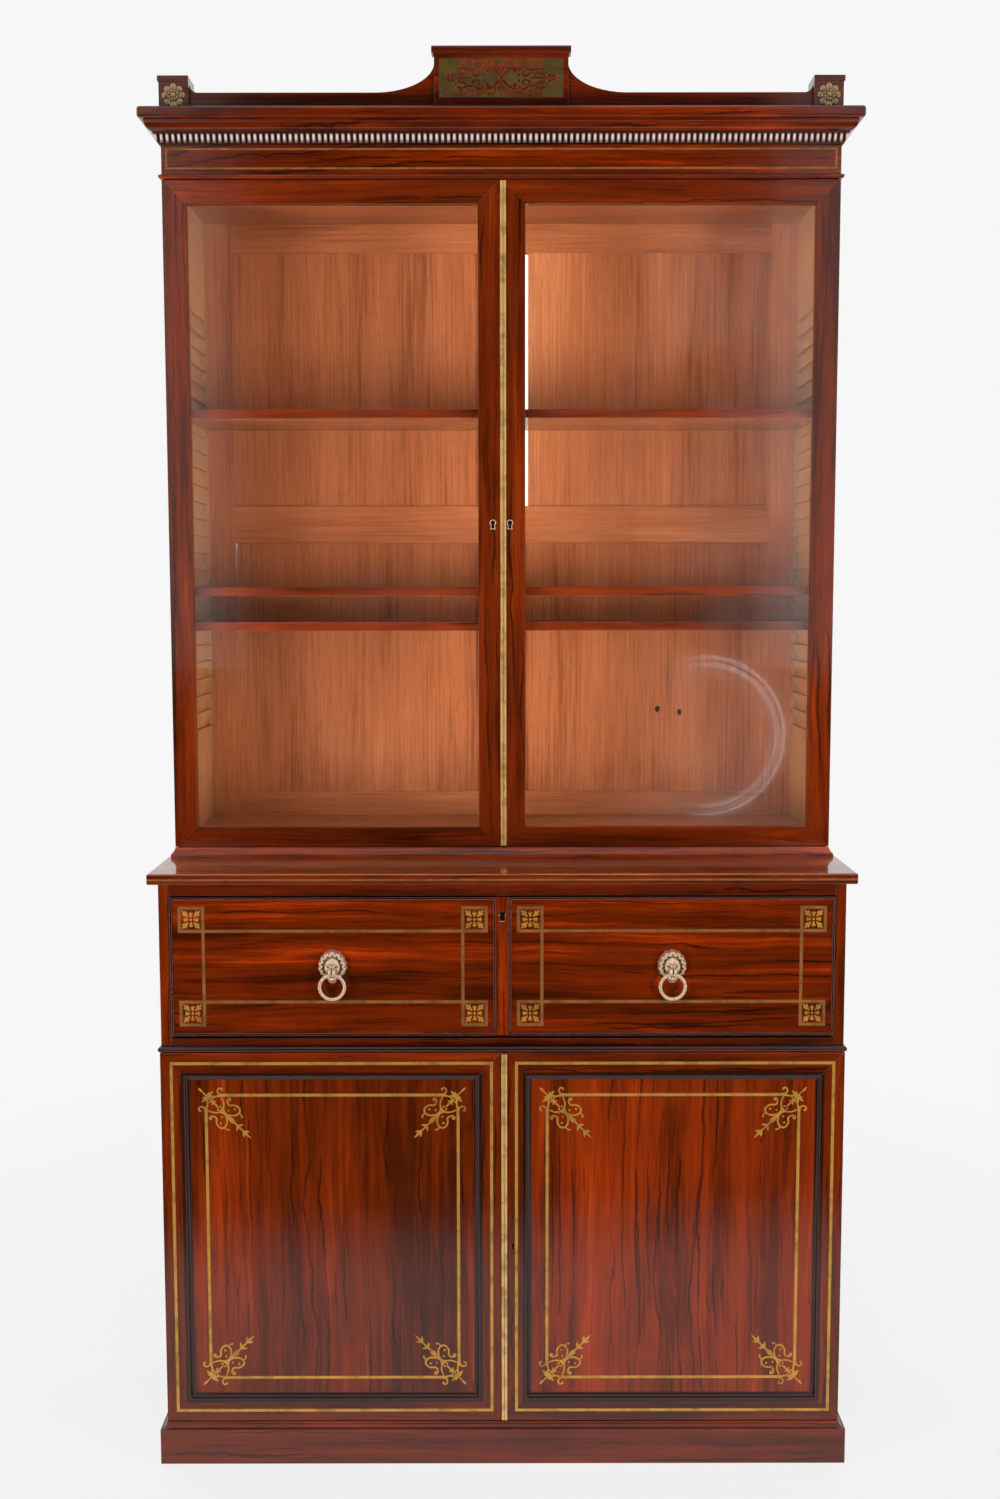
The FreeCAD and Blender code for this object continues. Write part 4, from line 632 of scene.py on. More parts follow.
def leather(name):
    shader = Shader(name)
    cells = shader.node("ShaderNodeTexVoronoi", shader.scaled(shader.point, (520, 520, 520)),
                        feature="DISTANCE_TO_EDGE")
    patches = shader.noise(shader.point, (14, 14, 14), detail=4.0, roughness=0.6)
    colour = shader.mix(shader.ramp(patches, 0.35, 0.7), tint(34, 46, 34), tint(62, 66, 44))
    creases = shader.ramp(cells.outputs[0], 0.0, 0.12)
    colour = shader.mix(creases, tint(20, 24, 18), colour)
    shader.set(Base_Color=colour, Roughness=shader.ramp(patches, 0.3, 0.7, 0.42, 0.6),
               Normal=shader.bump(creases, 0.0003, 0.6))
    return shader.material


def paint(names, material):
    """Gives carried-over nodes their material."""
    for name in names.split():
        mesh = nodes[name].data
        if not mesh.materials:
            mesh.materials.append(material)
        for slot in nodes[name].material_slots:
            slot.material = material


# Making objects

def add_object(name, data):
    made = bpy.data.objects.new(name, data)
    bpy.context.scene.collection.objects.link(made)
    return made


def mesh_object(name, mesh):
    data = bpy.data.meshes.new(name)
    mesh.to_mesh(data)
    mesh.free()
    return add_object(name, data)


def finish_piece(mesh, name, material, body):
    bmesh.ops.recalc_face_normals(mesh, faces=mesh.faces)
    piece = mesh_object(name, mesh)
    piece.data.materials.append(material)
    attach(piece, body)
    return piece


# Flat inlaid ornament, cut from strokes. A stroke's points are (across, up, width).

def smooth_line(points, pieces=6):
    """A soft curve through the points."""
    ends = [Vector(p) for p in points]
    if len(ends) < 3:
        return ends
    ends = [2 * ends[0] - ends[1]] + ends + [2 * ends[-1] - ends[-2]]
    line = []
    for index in range(1, len(ends) - 2):
        a, b, c, d = ends[index - 1:index + 3]
        for piece in range(pieces):
            t = piece / pieces
            line.append(0.5 * (2 * b + (c - a) * t + (2 * a - 5 * b + 4 * c - d) * t * t
                               + (3 * b - a - 3 * c + d) * t * t * t))
    return line + [ends[-2]]


def add_stroke(mesh, points, place, y_front, y_back, boldness):
    """One stroke as a closed flat strip; place turns drawing millimetres into x and z."""
    line = smooth_line(points)
    rings = []
    for index, spot in enumerate(line):
        before = line[max(index - 1, 0)]
        after = line[min(index + 1, len(line) - 1)]
        along = Vector((after.x - before.x, after.y - before.y))
        along = along.normalized() if along.length else Vector((1, 0))
        half = max(spot.z, 0.12) * boldness / 2
        u, w = place(spot.x - along.y * half, spot.y + along.x * half)
        x, z = place(spot.x + along.y * half, spot.y - along.x * half)
        ring = ((u, y_front, w), (x, y_front, z), (x, y_back, z), (u, y_back, w))
        rings.append([mesh.verts.new(corner) for corner in ring])
    for ring, after in zip(rings, rings[1:]):
        for i in range(4):
            mesh.faces.new((ring[i - 1], ring[i], after[i], after[i - 1]))
    mesh.faces.new(rings[0])
    mesh.faces.new(rings[-1])


def add_strokes(mesh, strokes, centre, face, step=stroke_step, boldness=1.0, turn=(1, 1)):
    """Strokes drawn about a centre, each prouder than the last by step; turn mirrors them."""
    def place(across, up):
        return centre[0] + turn[0] * across * millimetre, centre[1] + turn[1] * up * millimetre

    for index, stroke in enumerate(strokes):
        add_stroke(mesh, stroke, place, face - (inlay_rise + index * step), face + inlay_sink, boldness)


def leaf(x0, y0, x1, y1, width):
    """A pointed leaf as a stroke that swells in its middle."""
    steps = ((0, 0.25), (0.3, 0.85), (0.55, 1.0), (0.8, 0.6), (1.0, 0.1))
    return [(x0 + (x1 - x0) * t, y0 + (y1 - y0) * t, width * w) for t, w in steps]


def dot(x, y, radius):
    steps = (-1.0, -0.8, -0.4, 0.0, 0.4, 0.8, 1.0)
    return [(x + radius * t, y, 2 * radius * math.sqrt(max(0.0, 1 - t * t))) for t in steps]


# The corner ornament of the lower doors, drawn in millimetres from the corner of the
# line, first inward along the level line and then inward along the upright one.

def corner_strokes():
    half = [
        leaf(3, 3, 5.5, -5.5, 4.2),
        leaf(3, 3, 12.5, -7.5, 3.8),
        leaf(3, 3, 14.5, 1, 3.6),
        [(26.8, 0, 5), (22, -3, 2.6), (20, -8, 2.4), (23, -12.5, 2.4), (27.5, -11, 2.8), (27, -8, 1.6)],
        [(28, 0, 4.6), (20, 1.5, 3), (13.5, 3.5, 2.2), (10.5, 8.5, 2), (13.5, 12, 2.2), (17, 10, 2.6)],
        [(14, 10, 1.5), (9, 9, 1.8), (4, 4, 2.2)],
        dot(25, 20.5, 1.7),
        [(26.8, 3, 2), (30.5, 14, 2.6), (30, 26, 2.6), (34.5, 34.5, 3.4)],
        [(39.5, 10, 3.6), (42.5, 7.5, 2.4), (40, 5.5, 2.2), (36.8, 10, 2.4), (40, 17.5, 2.8),
         (50, 18, 2.6), (57.5, 24, 2.8), (56.5, 31.5, 2.8), (48, 36, 2.8), (34.5, 34.5, 3.2)],
        dot(38.5, 27, 1.6),
        dot(49.5, 25, 1.8),
        [(56, 31, 1.8), (60.5, 35, 2), (61.5, 40, 3)],
        leaf(38, 40, 46, 50, 3.4),
        leaf(52, 54, 64, 52.5, 3.6),
        leaf(62, 64, 74.5, 64.5, 4),
        leaf(30, 27, 22, 27.5, 2.6),
    ]
    mirrored = [[(y, x, w) for x, y, w in stroke] for stroke in half]
    return half + mirrored + [
        [(-13, -13, 0.6), (-10, -10, 3.6), (-7, -7, 2.4), (-4, -4, 1.6), (3, 3, 3.2)],
        [(4, 4, 2), (9, 9, 1.6), (14, 14, 2.2), (18, 18, 3), (22, 22, 1.2)],
        [(34.5, 34.5, 4.2), (42, 42, 2.6), (53, 53, 2.8), (62, 62, 2.6), (67, 67, 4.6), (76, 76, 0.6)],
        dot(34.5, 34.5, 3),
    ]


def corner_ornaments(door, body, material):
    low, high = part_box(door + "_panel")
    inset = panel_tongue + inner_string_inset + string_width / 2
    mesh = bmesh.new()
    for x, inward_x in ((low.x + inset, 1), (high.x - inset, -1)):
        for z, inward_z in ((low.z + inset, 1), (high.z - inset, -1)):
            add_strokes(mesh, corner_strokes(), (x, z), low.y, stroke_step, corner_boldness, (inward_x, inward_z))
    return finish_piece(mesh, door + "_corner_inlay", material, body)


# The stars in the squares of the fall front

def star_strokes():
    arm = [
        leaf(0, 4, 0, 13.5, 4.6),
        leaf(4.2, 4.2, 16, 16, 4.8),
        leaf(6.5, 7.5, 9.5, 15.8, 3),
        leaf(7.5, 6.5, 15.8, 9.5, 3),
        leaf(1.2, 8, 3.6, 12.2, 1.8),
        leaf(-1.2, 8, -3.6, 12.2, 1.8),
    ]
    strokes = [dot(0, 0, 2.3)]
    for quarter in range(4):
        turn = quarter * math.pi / 2
        cosine, sine = math.cos(turn), math.sin(turn)
        for stroke in arm:
            strokes.append([(x * cosine - y * sine, x * sine + y * cosine, w) for x, y, w in stroke])
    return strokes


def square_stars(material):
    low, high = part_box("fall_beads")
    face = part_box("fall_board")[0].y
    half = square_size / 2
    xs = (centre_stile_half + square_inset_side + half, high.x - square_inset_side - half)
    zs = (low.z + square_inset_end + half, high.z - square_inset_end - half)
    mesh = bmesh.new()
    for sign in side_signs.values():
        for x in xs:
            for z in zs:
                add_strokes(mesh, star_strokes(), (sign * x, z), face, star_step)
    return finish_piece(mesh, "fall_star_inlay", material, "fall_front")


# Relief work: a closed round piece with a sculpted front

def relief(centre, edge_at, height_at, rings, spokes):
    """height_at gives the height in millimetres over the face at millimetres across and up."""
    x0, face, z0 = centre
    mesh = bmesh.new()
    rows = []
    for ring in range(1, rings + 1):
        row = []
        for spoke in range(spokes):
            angle = 2 * math.pi * spoke / spokes
            reach = edge_at(angle) * ring / rings
            across, up = reach * math.cos(angle), reach * math.sin(angle)
            height = height_at(across, up, ring / rings, angle)
            row.append(mesh.verts.new((x0 + across * millimetre, face - height * millimetre,
                                       z0 + up * millimetre)))
        rows.append(row)
    top = mesh.verts.new((x0, face - height_at(0.0, 0.0, 0.0, 0.0) * millimetre, z0))
    rim = [mesh.verts.new((v.co.x, face, v.co.z)) for v in rows[-1]]
    rows.append(rim)
    for spoke in range(spokes):
        after = (spoke + 1) % spokes
        mesh.faces.new((top, rows[0][spoke], rows[0][after]))
        for inner, outer in zip(rows, rows[1:]):
            mesh.faces.new((inner[spoke], outer[spoke], outer[after], inner[after]))
    mesh.faces.new(rim)
    return mesh


def hill(distance, width):
    return math.exp(-(distance / width) ** 2)


def bump_at(x, y, cx, cy, wx, wy):
    return math.exp(-((x - cx) / wx) ** 2 - ((y - cy) / wy) ** 2)


def smooth(value, low, high):
    t = min(max((value - low) / (high - low), 0.0), 1.0)
    return t * t * (3 - 2 * t)


def angle_from_below(angle):
    return (angle + 3 * math.pi / 2) % (2 * math.pi) - math.pi


# The lion masks. Their relief is in millimetres, across and up from the root of the nose.

mask_half_width = 25.0
mask_top = 30.0
mask_chin = 21.0
mask_beard = 29.5
mane_locks = 15
mask_rings, mask_spokes = 60, 180
# The slot under the muzzle, where the ring hangs, in metres
slot_half = 0.0056
slot_front = 0.04
slot_below = 0.0040
slot_above = 0.0004


def mask_edge(angle):
    rise = math.sin(angle)
    tall = mask_top if rise > 0 else mask_chin
    base = 1 / math.hypot(math.cos(angle) / mask_half_width, rise / tall)
    base -= 1.3 * (0.5 - 0.5 * math.cos(mane_locks * (angle - math.pi / 2)))
    return base + (mask_beard - mask_chin) * hill(angle_from_below(angle), 0.40)


def mane_height(share, angle):
    """A thick ring of curls in two rows, with a deep groove between it and the face."""
    present = smooth(abs(angle_from_below(angle)), 0.45, 0.90)
    turn = mane_locks / 2 * (angle - math.pi / 2)
    outer = abs(math.cos(turn + 3.0 * (share - 0.90))) ** 0.7
    inner = abs(math.sin(turn - 3.0 * (share - 0.75))) ** 0.7
    ring = 3.8 * hill(share - 0.82, 0.17)
    rows = 3.8 * outer * hill(share - 0.91, 0.095) + 4.8 * inner * hill(share - 0.745, 0.095)
    return present * (ring + rows - 1.6 * hill(share - 0.640, 0.04))


# Height, place and widths of the face's forms: skull, forehead, temples, brows, eye hollows,
# eyes and cheeks
face_forms = (
    (3.6, 0, 1.5, 12.5, 13.0),
    (2.6, 3.4, 11.6, 2.6, 2.2),
    (1.8, 9.0, 9.4, 2.4, 2.6),
    (4.2, 6.4, 5.6, 3.8, 2.1),
    (-2.8, 6.2, 1.9, 2.4, 1.3),
    (2.0, 6.0, 1.5, 1.3, 1.0),
    (2.8, 10.2, -3.4, 3.0, 4.2),
)


def face_height(x, y):
    x = abs(x)
    reach = math.hypot(x / 14.0, (y - 1.0) / 16.5)
    forms = sum(height * bump_at(x, y, *shape) for height, *shape in face_forms)
    return 3.4 * (1 - smooth(reach, 0.86, 1.02)) + forms


def muzzle_height(x, y):
    """The nose, the whisker pads and the lower jaw stand out between steep sides."""
    x = abs(x)
    width = 8.6 - 2.8 * smooth(y, -4.0, 5.0)
    sides = 1 - smooth(x, width - 2.6, width)
    bridge = smooth(y, 10.0, -3.0) * (1 - 0.22 * smooth(x, 1.0, 5.0))
    pads = 3.0 * bump_at(x, y, 4.0, -6.4, 3.2, 4.6)
    pads -= 3.2 * hill(x, 0.9) * smooth(y, 4.0, 0.5) * (1 - smooth(y, -11.0, -13.0))
    pads -= 1.2 * bump_at(x, y, 2.3, -3.0, 0.9, 0.8)
    jaw = 3.2 * smooth(y, -9.5, -13.0)
    return sides * smooth(y, -24.5, -18.0) * (12.5 * bridge + pads - jaw)


def beard_height(x, y):
    """Pointed leaves that fan out under the chin."""
    fan = math.atan2(x, -(y + 6.0))
    leaves = 1.6 * abs(math.cos(4.5 * fan)) ** 0.6
    return (5.4 + leaves) * bump_at(x, y, 0, -20.0, 12.5, 7.5)


def mask_height_at(x, y, share, angle):
    dome = 3.4 + 2.6 * math.sqrt(max(0.0, 1 - share * share))
    edge = 1 - smooth(share, 0.93, 1.0)
    height = dome + face_height(x, y) + mane_height(share, angle)
    height = max(height, dome + beard_height(x, y)) + muzzle_height(x, y)
    return 1.6 + (height - 1.6) * (0.35 + 0.65 * edge)


def block(low, high):
    mesh = bmesh.new()
    bmesh.ops.create_cube(mesh, size=1.0)
    for vert in mesh.verts:
        for axis in range(3):
            vert.co[axis] = high[axis] if vert.co[axis] > 0 else low[axis]
    return mesh


def rod_mesh(centre, radius, length):
    """A rod that lies from side to side."""
    mesh = bmesh.new()
    turn = Matrix.Translation(centre) @ Matrix.Rotation(math.pi / 2, 4, "Y")
    bmesh.ops.create_cone(mesh, cap_ends=True, segments=40, radius1=radius, radius2=radius,
                          depth=length, matrix=turn)
    return mesh


def cut_away(piece, mesh):
    """Takes the shape in mesh out of the piece."""
    cutter = mesh_object("cutter", mesh)
    modifier = piece.modifiers.new("cut", "BOOLEAN")
    modifier.operation = "DIFFERENCE"
    modifier.solver = "EXACT"
    modifier.object = cutter
    bpy.context.view_layer.update()
    shaped = piece.evaluated_get(bpy.context.evaluated_depsgraph_get())
    result = bpy.data.meshes.new_from_object(shaped)
    piece.modifiers.clear()
    piece.data = result
    bpy.data.objects.remove(cutter)


def smooth_faces(piece, sharp_angle):
    for face in piece.data.polygons:
        face.use_smooth = True
    piece.data.set_sharp_from_angle(angle=math.radians(sharp_angle))


def mask_middle():
    """Across and height of the right-hand mask's middle."""
    low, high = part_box("ring_pull_right")
    return (low.x + high.x) / 2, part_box("fall_beads")[0].z + mask_rise


def lion_mask(side, material):
    middle, z = mask_middle()
    x = side_signs[side] * middle
    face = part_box("fall_board")[0].y
    mesh = relief((x, face, z), mask_edge, mask_height_at, mask_rings, mask_spokes)
    piece = finish_piece(mesh, "lion_mask_" + side, material, "fall_front")
    mouth_z = z - mouth_drop
    cut_away(piece, rod_mesh((x, face - mouth_depth, mouth_z), mouth_radius, 2 * mask_half_width * millimetre))
    cut_away(piece, block((x - slot_half, face - slot_front, mouth_z - slot_below),
                          (x + slot_half, face - mouth_depth, mouth_z + slot_above)))
    smooth_faces(piece, 50)
    return piece


def mask_nuts(material):
    """The square nuts that hold the masks, in their pockets behind the fall."""
    middle, z = mask_middle()
    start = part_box("fall_board")[1].y - mask_nut_depth
    mesh = bmesh.new()
    for x in (-middle, middle):
        for vert in bmesh.ops.create_cube(mesh, size=1.0)["verts"]:
            vert.co.x = x + math.copysign(mask_nut_half, vert.co.x)
            vert.co.z = z + math.copysign(mask_nut_half, vert.co.z)
            vert.co.y = start + (mask_nut_thickness if vert.co.y > 0 else 0.0)
    bmesh.ops.bevel(mesh, geom=mesh.edges[:], offset=0.0006, segments=2, affect="EDGES")
    return finish_piece(mesh, "mask_nuts", material, "fall_front")


# The rosettes on the corner blocks, with their relief and reach in millimetres

rosette_rise = 0.027
block_set_back = 0.005
rosette_reach = 20.0
rosette_rings, rosette_spokes = 36, 160
petals = 8


def rosette_edge(angle):
    wave = abs(math.cos(petals / 2 * angle))
    return rosette_reach * (0.74 + 0.26 * wave ** 0.8)


def rosette_height(x, y, share, angle):
    reach = math.hypot(x, y)
    outer = abs(math.cos(petals / 2 * angle))
    inner = abs(math.sin(petals / 2 * angle))
    rib = hill(1 - outer, 0.012)
    height = 1.4 + 2.6 * outer * hill(reach - 14.0, 5.5) - 0.8 * rib * smooth(reach, 7.0, 10.0)
    height += (2.0 + 2.2 * inner) * (1 - smooth(reach, 8.6, 10.6)) * smooth(reach, 3.0, 6.0)
    height += 4.6 * math.sqrt(max(0.0, 1 - (reach / 4.4) ** 2))
    return height + 1.6 * (1 - smooth(reach, 4.4, 6.0))


def upper_front():
    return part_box("upper_door_left_frame")[0].y


def rosette(side, material):
    x = side_signs[side] * (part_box("gallery_brass")[1].x - rosette_reach * millimetre)
    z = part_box("corner_blocks")[0].z + rosette_rise
    centre = (x, upper_front() + block_set_back, z)
    mesh = relief(centre, rosette_edge, rosette_height, rosette_rings, rosette_spokes)
    piece = finish_piece(mesh, "rosette_" + side, material, "case")
    smooth_faces(piece, 55)
    return piece


# The brass plate of the tablet, with its dark scrolls

plate_half_width = 0.106
plate_height = 0.064
plate_rise = 0.025
plate_depth = 0.0015
tablet_set_back = 0.008


def plate_strokes():
    quarter = [
        [(3, 3, 2.2), (12, 13, 3), (27, 19, 3.2), (42, 17, 3), (49, 8, 2.6), (42, 3, 2.4), (36, 7, 2.2),
         (39, 11, 2.6)],
        [(27, 19, 2.6), (33, 25, 2.4), (42, 27.5, 2.2), (50, 24, 2.4), (50, 19, 2.8)],
        [(12, 13, 2.2), (10, 21, 2.6), (15, 27, 2.4), (22, 26, 2.6), (21, 22, 2.2)],
        [(46, 14, 2.4), (56, 13, 3), (66, 17, 2.6), (70, 23, 2.4), (64, 27, 2.2), (59, 23.5, 2.6)],
        [(56, 13, 2), (64, 8, 2.8), (72, 7, 2.4), (75, 2, 1.6)],
        leaf(20, 17, 26, 8, 4.4),
        leaf(30, 19, 33, 12, 3.4),
        leaf(44, 27, 53, 30, 3.2),
        leaf(4, 12, 4, 25, 3.8),
        leaf(66, 17, 76, 15, 3.6),
        leaf(80, 1, 86, 7, 3.4),
        leaf(87, 1, 93, 6, 3),
        dot(57, 19, 1.6),
        dot(30, 5, 2),
        dot(78, 9, 1.5),
    ]
    strokes = []
    for turn_x in (-1, 1):
        for turn_y in (-1, 1):
            strokes += [[(x * turn_x, y * turn_y, w) for x, y, w in stroke] for stroke in quarter]
        strokes.append([(turn_x * x, 0, w) for x, w in ((50, 1.6), (64, 2.2), (80, 2), (94, 1.6), (101, 0.5))])
    strokes.append(dot(0, 0, 3.4))
    strokes.append([(0, -29, 0.6), (0, -20, 3.4), (0, -8, 2.2), (0, 0, 3), (0, 8, 2.2), (0, 20, 3.4), (0, 29, 0.6)])
    return strokes


def tablet_plate(plate_material, scroll_material):
    z0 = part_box("gallery_tablet")[0].z + plate_rise
    z1 = z0 + plate_height
    face = upper_front() + tablet_set_back
    mesh = block((-plate_half_width, face, z0), (plate_half_width, face + plate_depth, z1))
    bmesh.ops.bevel(mesh, geom=mesh.edges[:], offset=0.0003, segments=2, affect="EDGES")
    finish_piece(mesh, "tablet_plate", plate_material, "case")
    mesh = bmesh.new()
    add_strokes(mesh, plate_strokes(), (0.0, (z0 + z1) / 2), face, stroke_step, scroll_boldness)
    finish_piece(mesh, "tablet_scrolls", scroll_material, "case")


# Materials of the carried-over nodes

def door_outlines(name):
    """Outer and inner outline of a door frame, from its own box and the widths of its members."""
    low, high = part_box(name)
    widths = lower_door_widths if name.startswith("lower") else upper_door_widths
    outer_stile, meeting_stile, bottom, top = widths
    left, right = outer_stile, meeting_stile
    if "right" in name:
        left, right = meeting_stile + astragal_width, outer_stile
    return ((low.x, low.z), (high.x, high.z)), ((low.x + left, low.z + bottom), (high.x - right, high.z - top))


def paint_case():
    upper_side, lower_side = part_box("upper_side_right"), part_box("lower_side_right")
    half_upper, half_lower = upper_side[1].x, lower_side[1].x
    upper_skin, lower_skin = upper_side[0].y + board_skin, lower_side[0].y + board_skin
    upper_run = run_grain(half_upper, upper_front())
    lower_run = run_grain(half_lower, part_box("lower_door_left_frame")[0].y)

    paint("cornice_top cornice_moulding necking_bead", rosewood("rosewood_cornice", upper_run, "red", 1.3, 0.8))
    # The base moulding's paler tone is painted light
    paint("base_moulding", rosewood("rosewood_base", upper_run, "base", 1.3, 0.8))
    paint("bead_row", beads_with_painted_highlight(upper_run, half_upper, upper_front()))
    paint("frieze", rosewood("rosewood_frieze", grain_x, "red", 2.1, 1.6))
    # The gallery's darker tone is painted shade
    paint("gallery_boards gallery_tablet corner_blocks", rosewood("rosewood_gallery", grain_x, "gallery", 6.4, 0.8))
    paint("desk_top", desk_wood())
    paint("plinth_frame plinth_moulding", rosewood("rosewood_plinth", lower_run, "lower", 4.6))
    # The waist bead takes a stronger painted highlight along its arrises
    paint("waist_bead", rosewood("rosewood_waist", lower_run, "dark", 4.6, 1.0, edge_wear, 0.7))
    paint("waist_board top_rails", rosewood("rosewood_rails", grain_x, "rail", 8.8))
    shown = outside_or_in_front(half_upper - board_skin, upper_skin)
    paint("upper_side_left upper_side_right", veneered("upper_sides", grain_z, "upper", 2.6, shown))
    shown = outside_or_in_front(half_lower - board_skin, lower_skin)
    paint("lower_side_left lower_side_right", veneered("lower_sides", grain_z, "lower", 9.6, shown))
    paint("upper_boards", veneered("upper_boards", grain_x, "upper", 7.6, in_front_of(upper_skin), "back"))
    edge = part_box("book_shelves")[0].y + board_skin
    paint("book_shelves", veneered("book_shelves", grain_x, "upper", 1.9, in_front_of(edge), "back", 0.5))


def paint_inside():
    paint("upper_back_panels", mahogany("back_panels", grain_z, "back", 1.0, back_gloss, back_marks))
    paint("upper_back_frame", mahogany("back_frame", back_frame_grain, "back", 4.0, back_gloss))
    paint("lower_bottom_board cupboard_shelf pigeonhole_case", mahogany("plain_boards", grain_x, "drawer", 2.0))
    paint("lower_back", mahogany("plain_uprights", grain_z, "drawer", 6.0))
    paint("drawer_guides drawer_case", mahogany("plain_sides", grain_y, "drawer", 3.0))
    front = in_front_of(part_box("small_drawer_right")[0].y + small_drawer_skin)
    small = veneered("small_drawers", grain_x, "upper", 3.9, front, "drawer", 0.6)
    paint("small_drawer_left small_drawer_right", small)


def paint_doors():
    for level in ("upper", "lower"):
        for index, side in enumerate(side_signs):
            name = f"{level}_door_{side}_frame"
            front = in_front_of(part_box(name)[0].y + door_skin)
            seed = 1.7 + 2.9 * index + (5.3 if level == "lower" else 0)
            # The old hole and the mock keyhole are dark spots: painted shade in holes
            spots = {"lower_door_right_frame": (old_hole,), "upper_door_left_frame": mock_keyhole}.get(name, ())
            outer, opening = door_outlines(name)
            # The lower doors take painted shade on the moulding round their openings
            shaded = opening if level == "lower" else None
            paint(name, veneered(name + "_wood", frame_grain(outer, opening), level, seed, front,
                                 spots=spots, opening=shaded))
    for side, tone, seed in (("left", "lower", 12.4), ("right", "warm", 15.7)):
        name = f"lower_door_{side}_panel"
        front = in_front_of(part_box(name)[0].y + panel_skin)
        paint(name, veneered(name + "_wood", grain_z, tone, seed, front, figure=1.1))
    paint("fall_board", fall_wood(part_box("fall_board")[0].y + fall_skin))
    # The cockbeads take a strong painted highlight along their arrises
    paint("fall_beads", rosewood("fall_bead_wood", grain_x, "dark", 5.9, 0.5, 0.0019, 0.95))
    for side, smear in (("left", None), ("right", glass_smear)):
        name = f"upper_door_{side}_glass"
        paint(name, glass(name, smear))
        nodes[name].visible_shadow = False


def paint_metal(line_brass, bright_brass):
    dull_brass = brass("dull_brass", tint(154, 98, 46), tint(108, 70, 32), 0.42, 0.36)
    reed_brass = brass("reed_brass", tint(212, 172, 108), tint(160, 120, 66), 0.34)
    paint("carcase_brass drawer_brass fall_brass", dull_brass)
    paint("upper_astragal lower_astragal", reed_brass)
    for side in side_signs:
        paint(f"upper_door_{side}_brass lower_door_{side}_brass", line_brass)
    paint("upper_door_left_bolt lower_door_left_bolt upper_lock_bolt lower_lock_bolt fall_lock_bolt", bright_brass)
    paint("fall_leather", leather("writing_leather"))


# Stage, camera and light

def make_camera():
    data = bpy.data.cameras.new("camera")
    data.lens = camera_lens
    data.sensor_width = camera_sensor
    camera = add_object("camera", data)
    camera.matrix_world = Matrix.Translation(camera_place)
    for angle, axis in ((-camera_yaw, "Z"), (math.pi / 2 - camera_pitch, "X"), (-camera_roll, "Z")):
        camera.matrix_world @= Matrix.Rotation(angle, 4, axis)
    bpy.context.scene.camera = camera


def make_lights():
    """Soft lamps that light the object and aren't mirrored in its polish."""
    for name, place, size, power in lamps:
        data = bpy.data.lights.new(name, "AREA")
        data.shape = "RECTANGLE"
        data.size, data.size_y = size
        data.energy = power
        light = add_object(name, data)
        light.location = place
        light.rotation_euler = (Vector(lamp_aim) - Vector(place)).to_track_quat("-Z", "Y").to_euler()
        light.visible_glossy = False


def kinds_of_ray(shader):
    """1 for rays that show a thing to the camera, and 1 for those that show it in a reflection."""
    path = shader.node("ShaderNodeLightPath").outputs
    names = ("Is Camera Ray", "Is Glossy Ray", "Is Transmission Ray", "Glossy Depth", "Diffuse Depth")
    camera, glossy, transmitted, glossy_depth, diffuse_depth = [Value(shader, path[name]) for name in names]
    through = transmitted * (diffuse_depth < 0.5)
    shone = glossy_depth > 0.5
    return shader.larger(camera, through * (1.0 - shone)), shader.larger(glossy, through * shone)


def make_world():
    """White behind the object; a dim gap behind the camera, as in a studio, for what shines."""
    world = bpy.data.worlds.new("studio")
    bpy.context.scene.world = world
    world.use_nodes = True
    sky = Nodes(world.node_tree, "Generated")
    across = sky.ramp(abs(sky.x), *studio_gap, studio_dark)
    shine = sky.larger(sky.larger(across, sky.y > 0.0), sky.ramp(sky.z, *studio_ceiling))
    seen, mirrored = kinds_of_ray(sky)
    rest = (1.0 - sky.larger(seen, mirrored)) * ambient_level
    background = sky.tree.nodes["Background"].inputs
    sky.feed(background["Strength"], seen * background_level + mirrored * shine + rest)
    background["Color"].default_value = (1.0, 1.0, 1.0, 1.0)


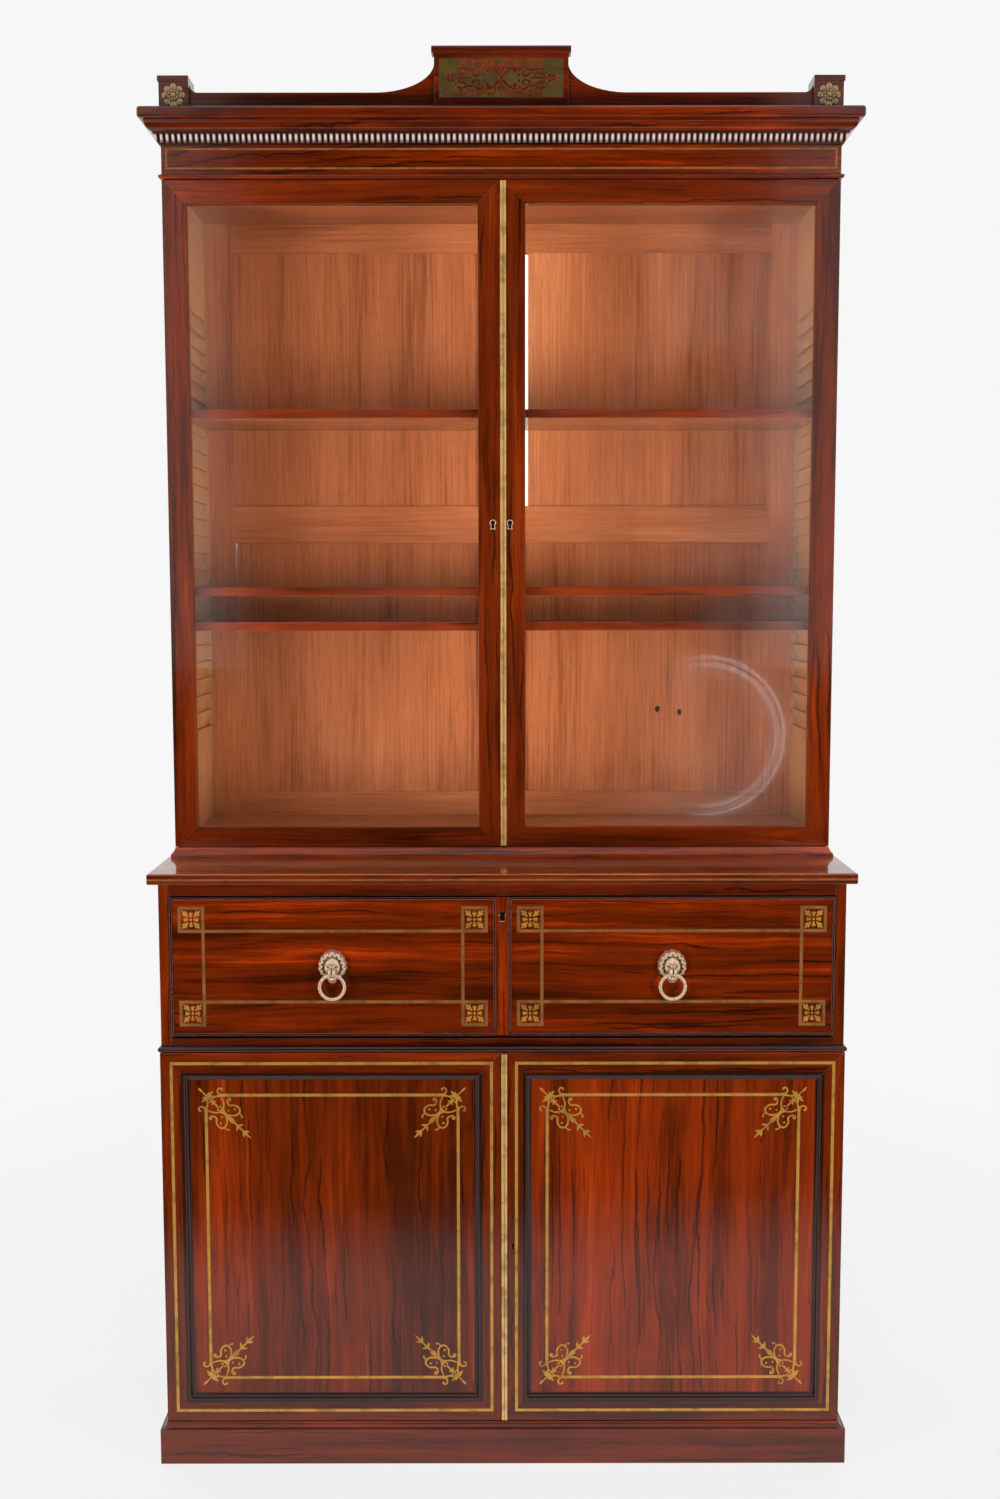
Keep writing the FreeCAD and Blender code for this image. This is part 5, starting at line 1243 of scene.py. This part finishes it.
def make_floor():
    """A pale floor that keeps the object's shadow and fades into the background."""
    mesh = bmesh.new()
    bmesh.ops.create_grid(mesh, x_segments=2, y_segments=2, size=floor_size / 2)
    floor = mesh_object("floor", mesh)
    shader = Shader("floor")
    shader.set(Base_Color=tint(236, 236, 236), Roughness=0.9, Specular_IOR_Level=0.0)
    x, y = shader.x, shader.y
    away = (x ** 2.0 + y ** 2.0) ** 0.5
    catch = shader.node("ShaderNodeBsdfDiffuse", (floor_catch, floor_catch, floor_catch, 1.0)).outputs[0]
    near = shader.node("ShaderNodeAddShader", shader.glow(floor_glow), catch).outputs[0]
    shown = shader.mix_shaders(shader.ramp(away, *floor_clear), near, shader.glow(background_level))
    inside = (y - sweep_front) + x * sweep_slant
    under = shader.ramp(inside, -sweep_fade, sweep_fade, studio_dark, background_level)
    aside = shader.smaller(y + sweep_side[0], 0.0) * sweep_side_spread + abs(x)
    aside = shader.ramp(aside, *sweep_side, studio_dark, background_level)
    seen, mirrored = kinds_of_ray(shader)
    sweep = shader.mix_shaders(mirrored, shader.surface.outputs[0], shader.glow(shader.larger(under, aside)))
    output = shader.tree.nodes["Material Output"]
    shader.feed(output.inputs["Surface"], shader.mix_shaders(seen, sweep, shown))
    floor.data.materials.append(shader.material)


def main():
    bpy.context.scene.view_settings.view_transform = "Standard"
    make_camera()
    make_world()
    make_lights()
    make_floor()
    line_brass = brass("line_brass", tint(188, 138, 58), tint(138, 98, 42), 0.40)
    bright_brass = brass("bright_brass", tint(226, 190, 120), tint(176, 132, 70), 0.28)
    gilt = cast_gilt("gilt_brass_cast", tint(244, 218, 190), tint(208, 172, 140), tint(64, 34, 20))
    old_gilt = cast_gilt("old_gilt", tint(176, 150, 112), tint(128, 104, 74), tint(34, 22, 14))
    paint_case()
    paint_inside()
    paint_doors()
    paint_metal(line_brass, bright_brass)
    for side in side_signs:
        paint("ring_pull_" + side, gilt)
        corner_ornaments("lower_door_" + side, side + "_lower_door", line_brass)
    square_stars(line_brass)
    masks = [lion_mask(side, gilt) for side in side_signs]
    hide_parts("lion_masks")
    mask_nuts(gilt)
    plate_brass = brass("plate_brass", tint(92, 72, 22), tint(62, 44, 14), 0.5, 0.3)
    tablet_plate(plate_brass, rosewood("scroll_wood", grain_x, "bright", 3.0))
    rosettes = [rosette(side, old_gilt) for side in side_signs]
    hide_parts("gallery_brass")


main()
bpy.context.view_layer.update()
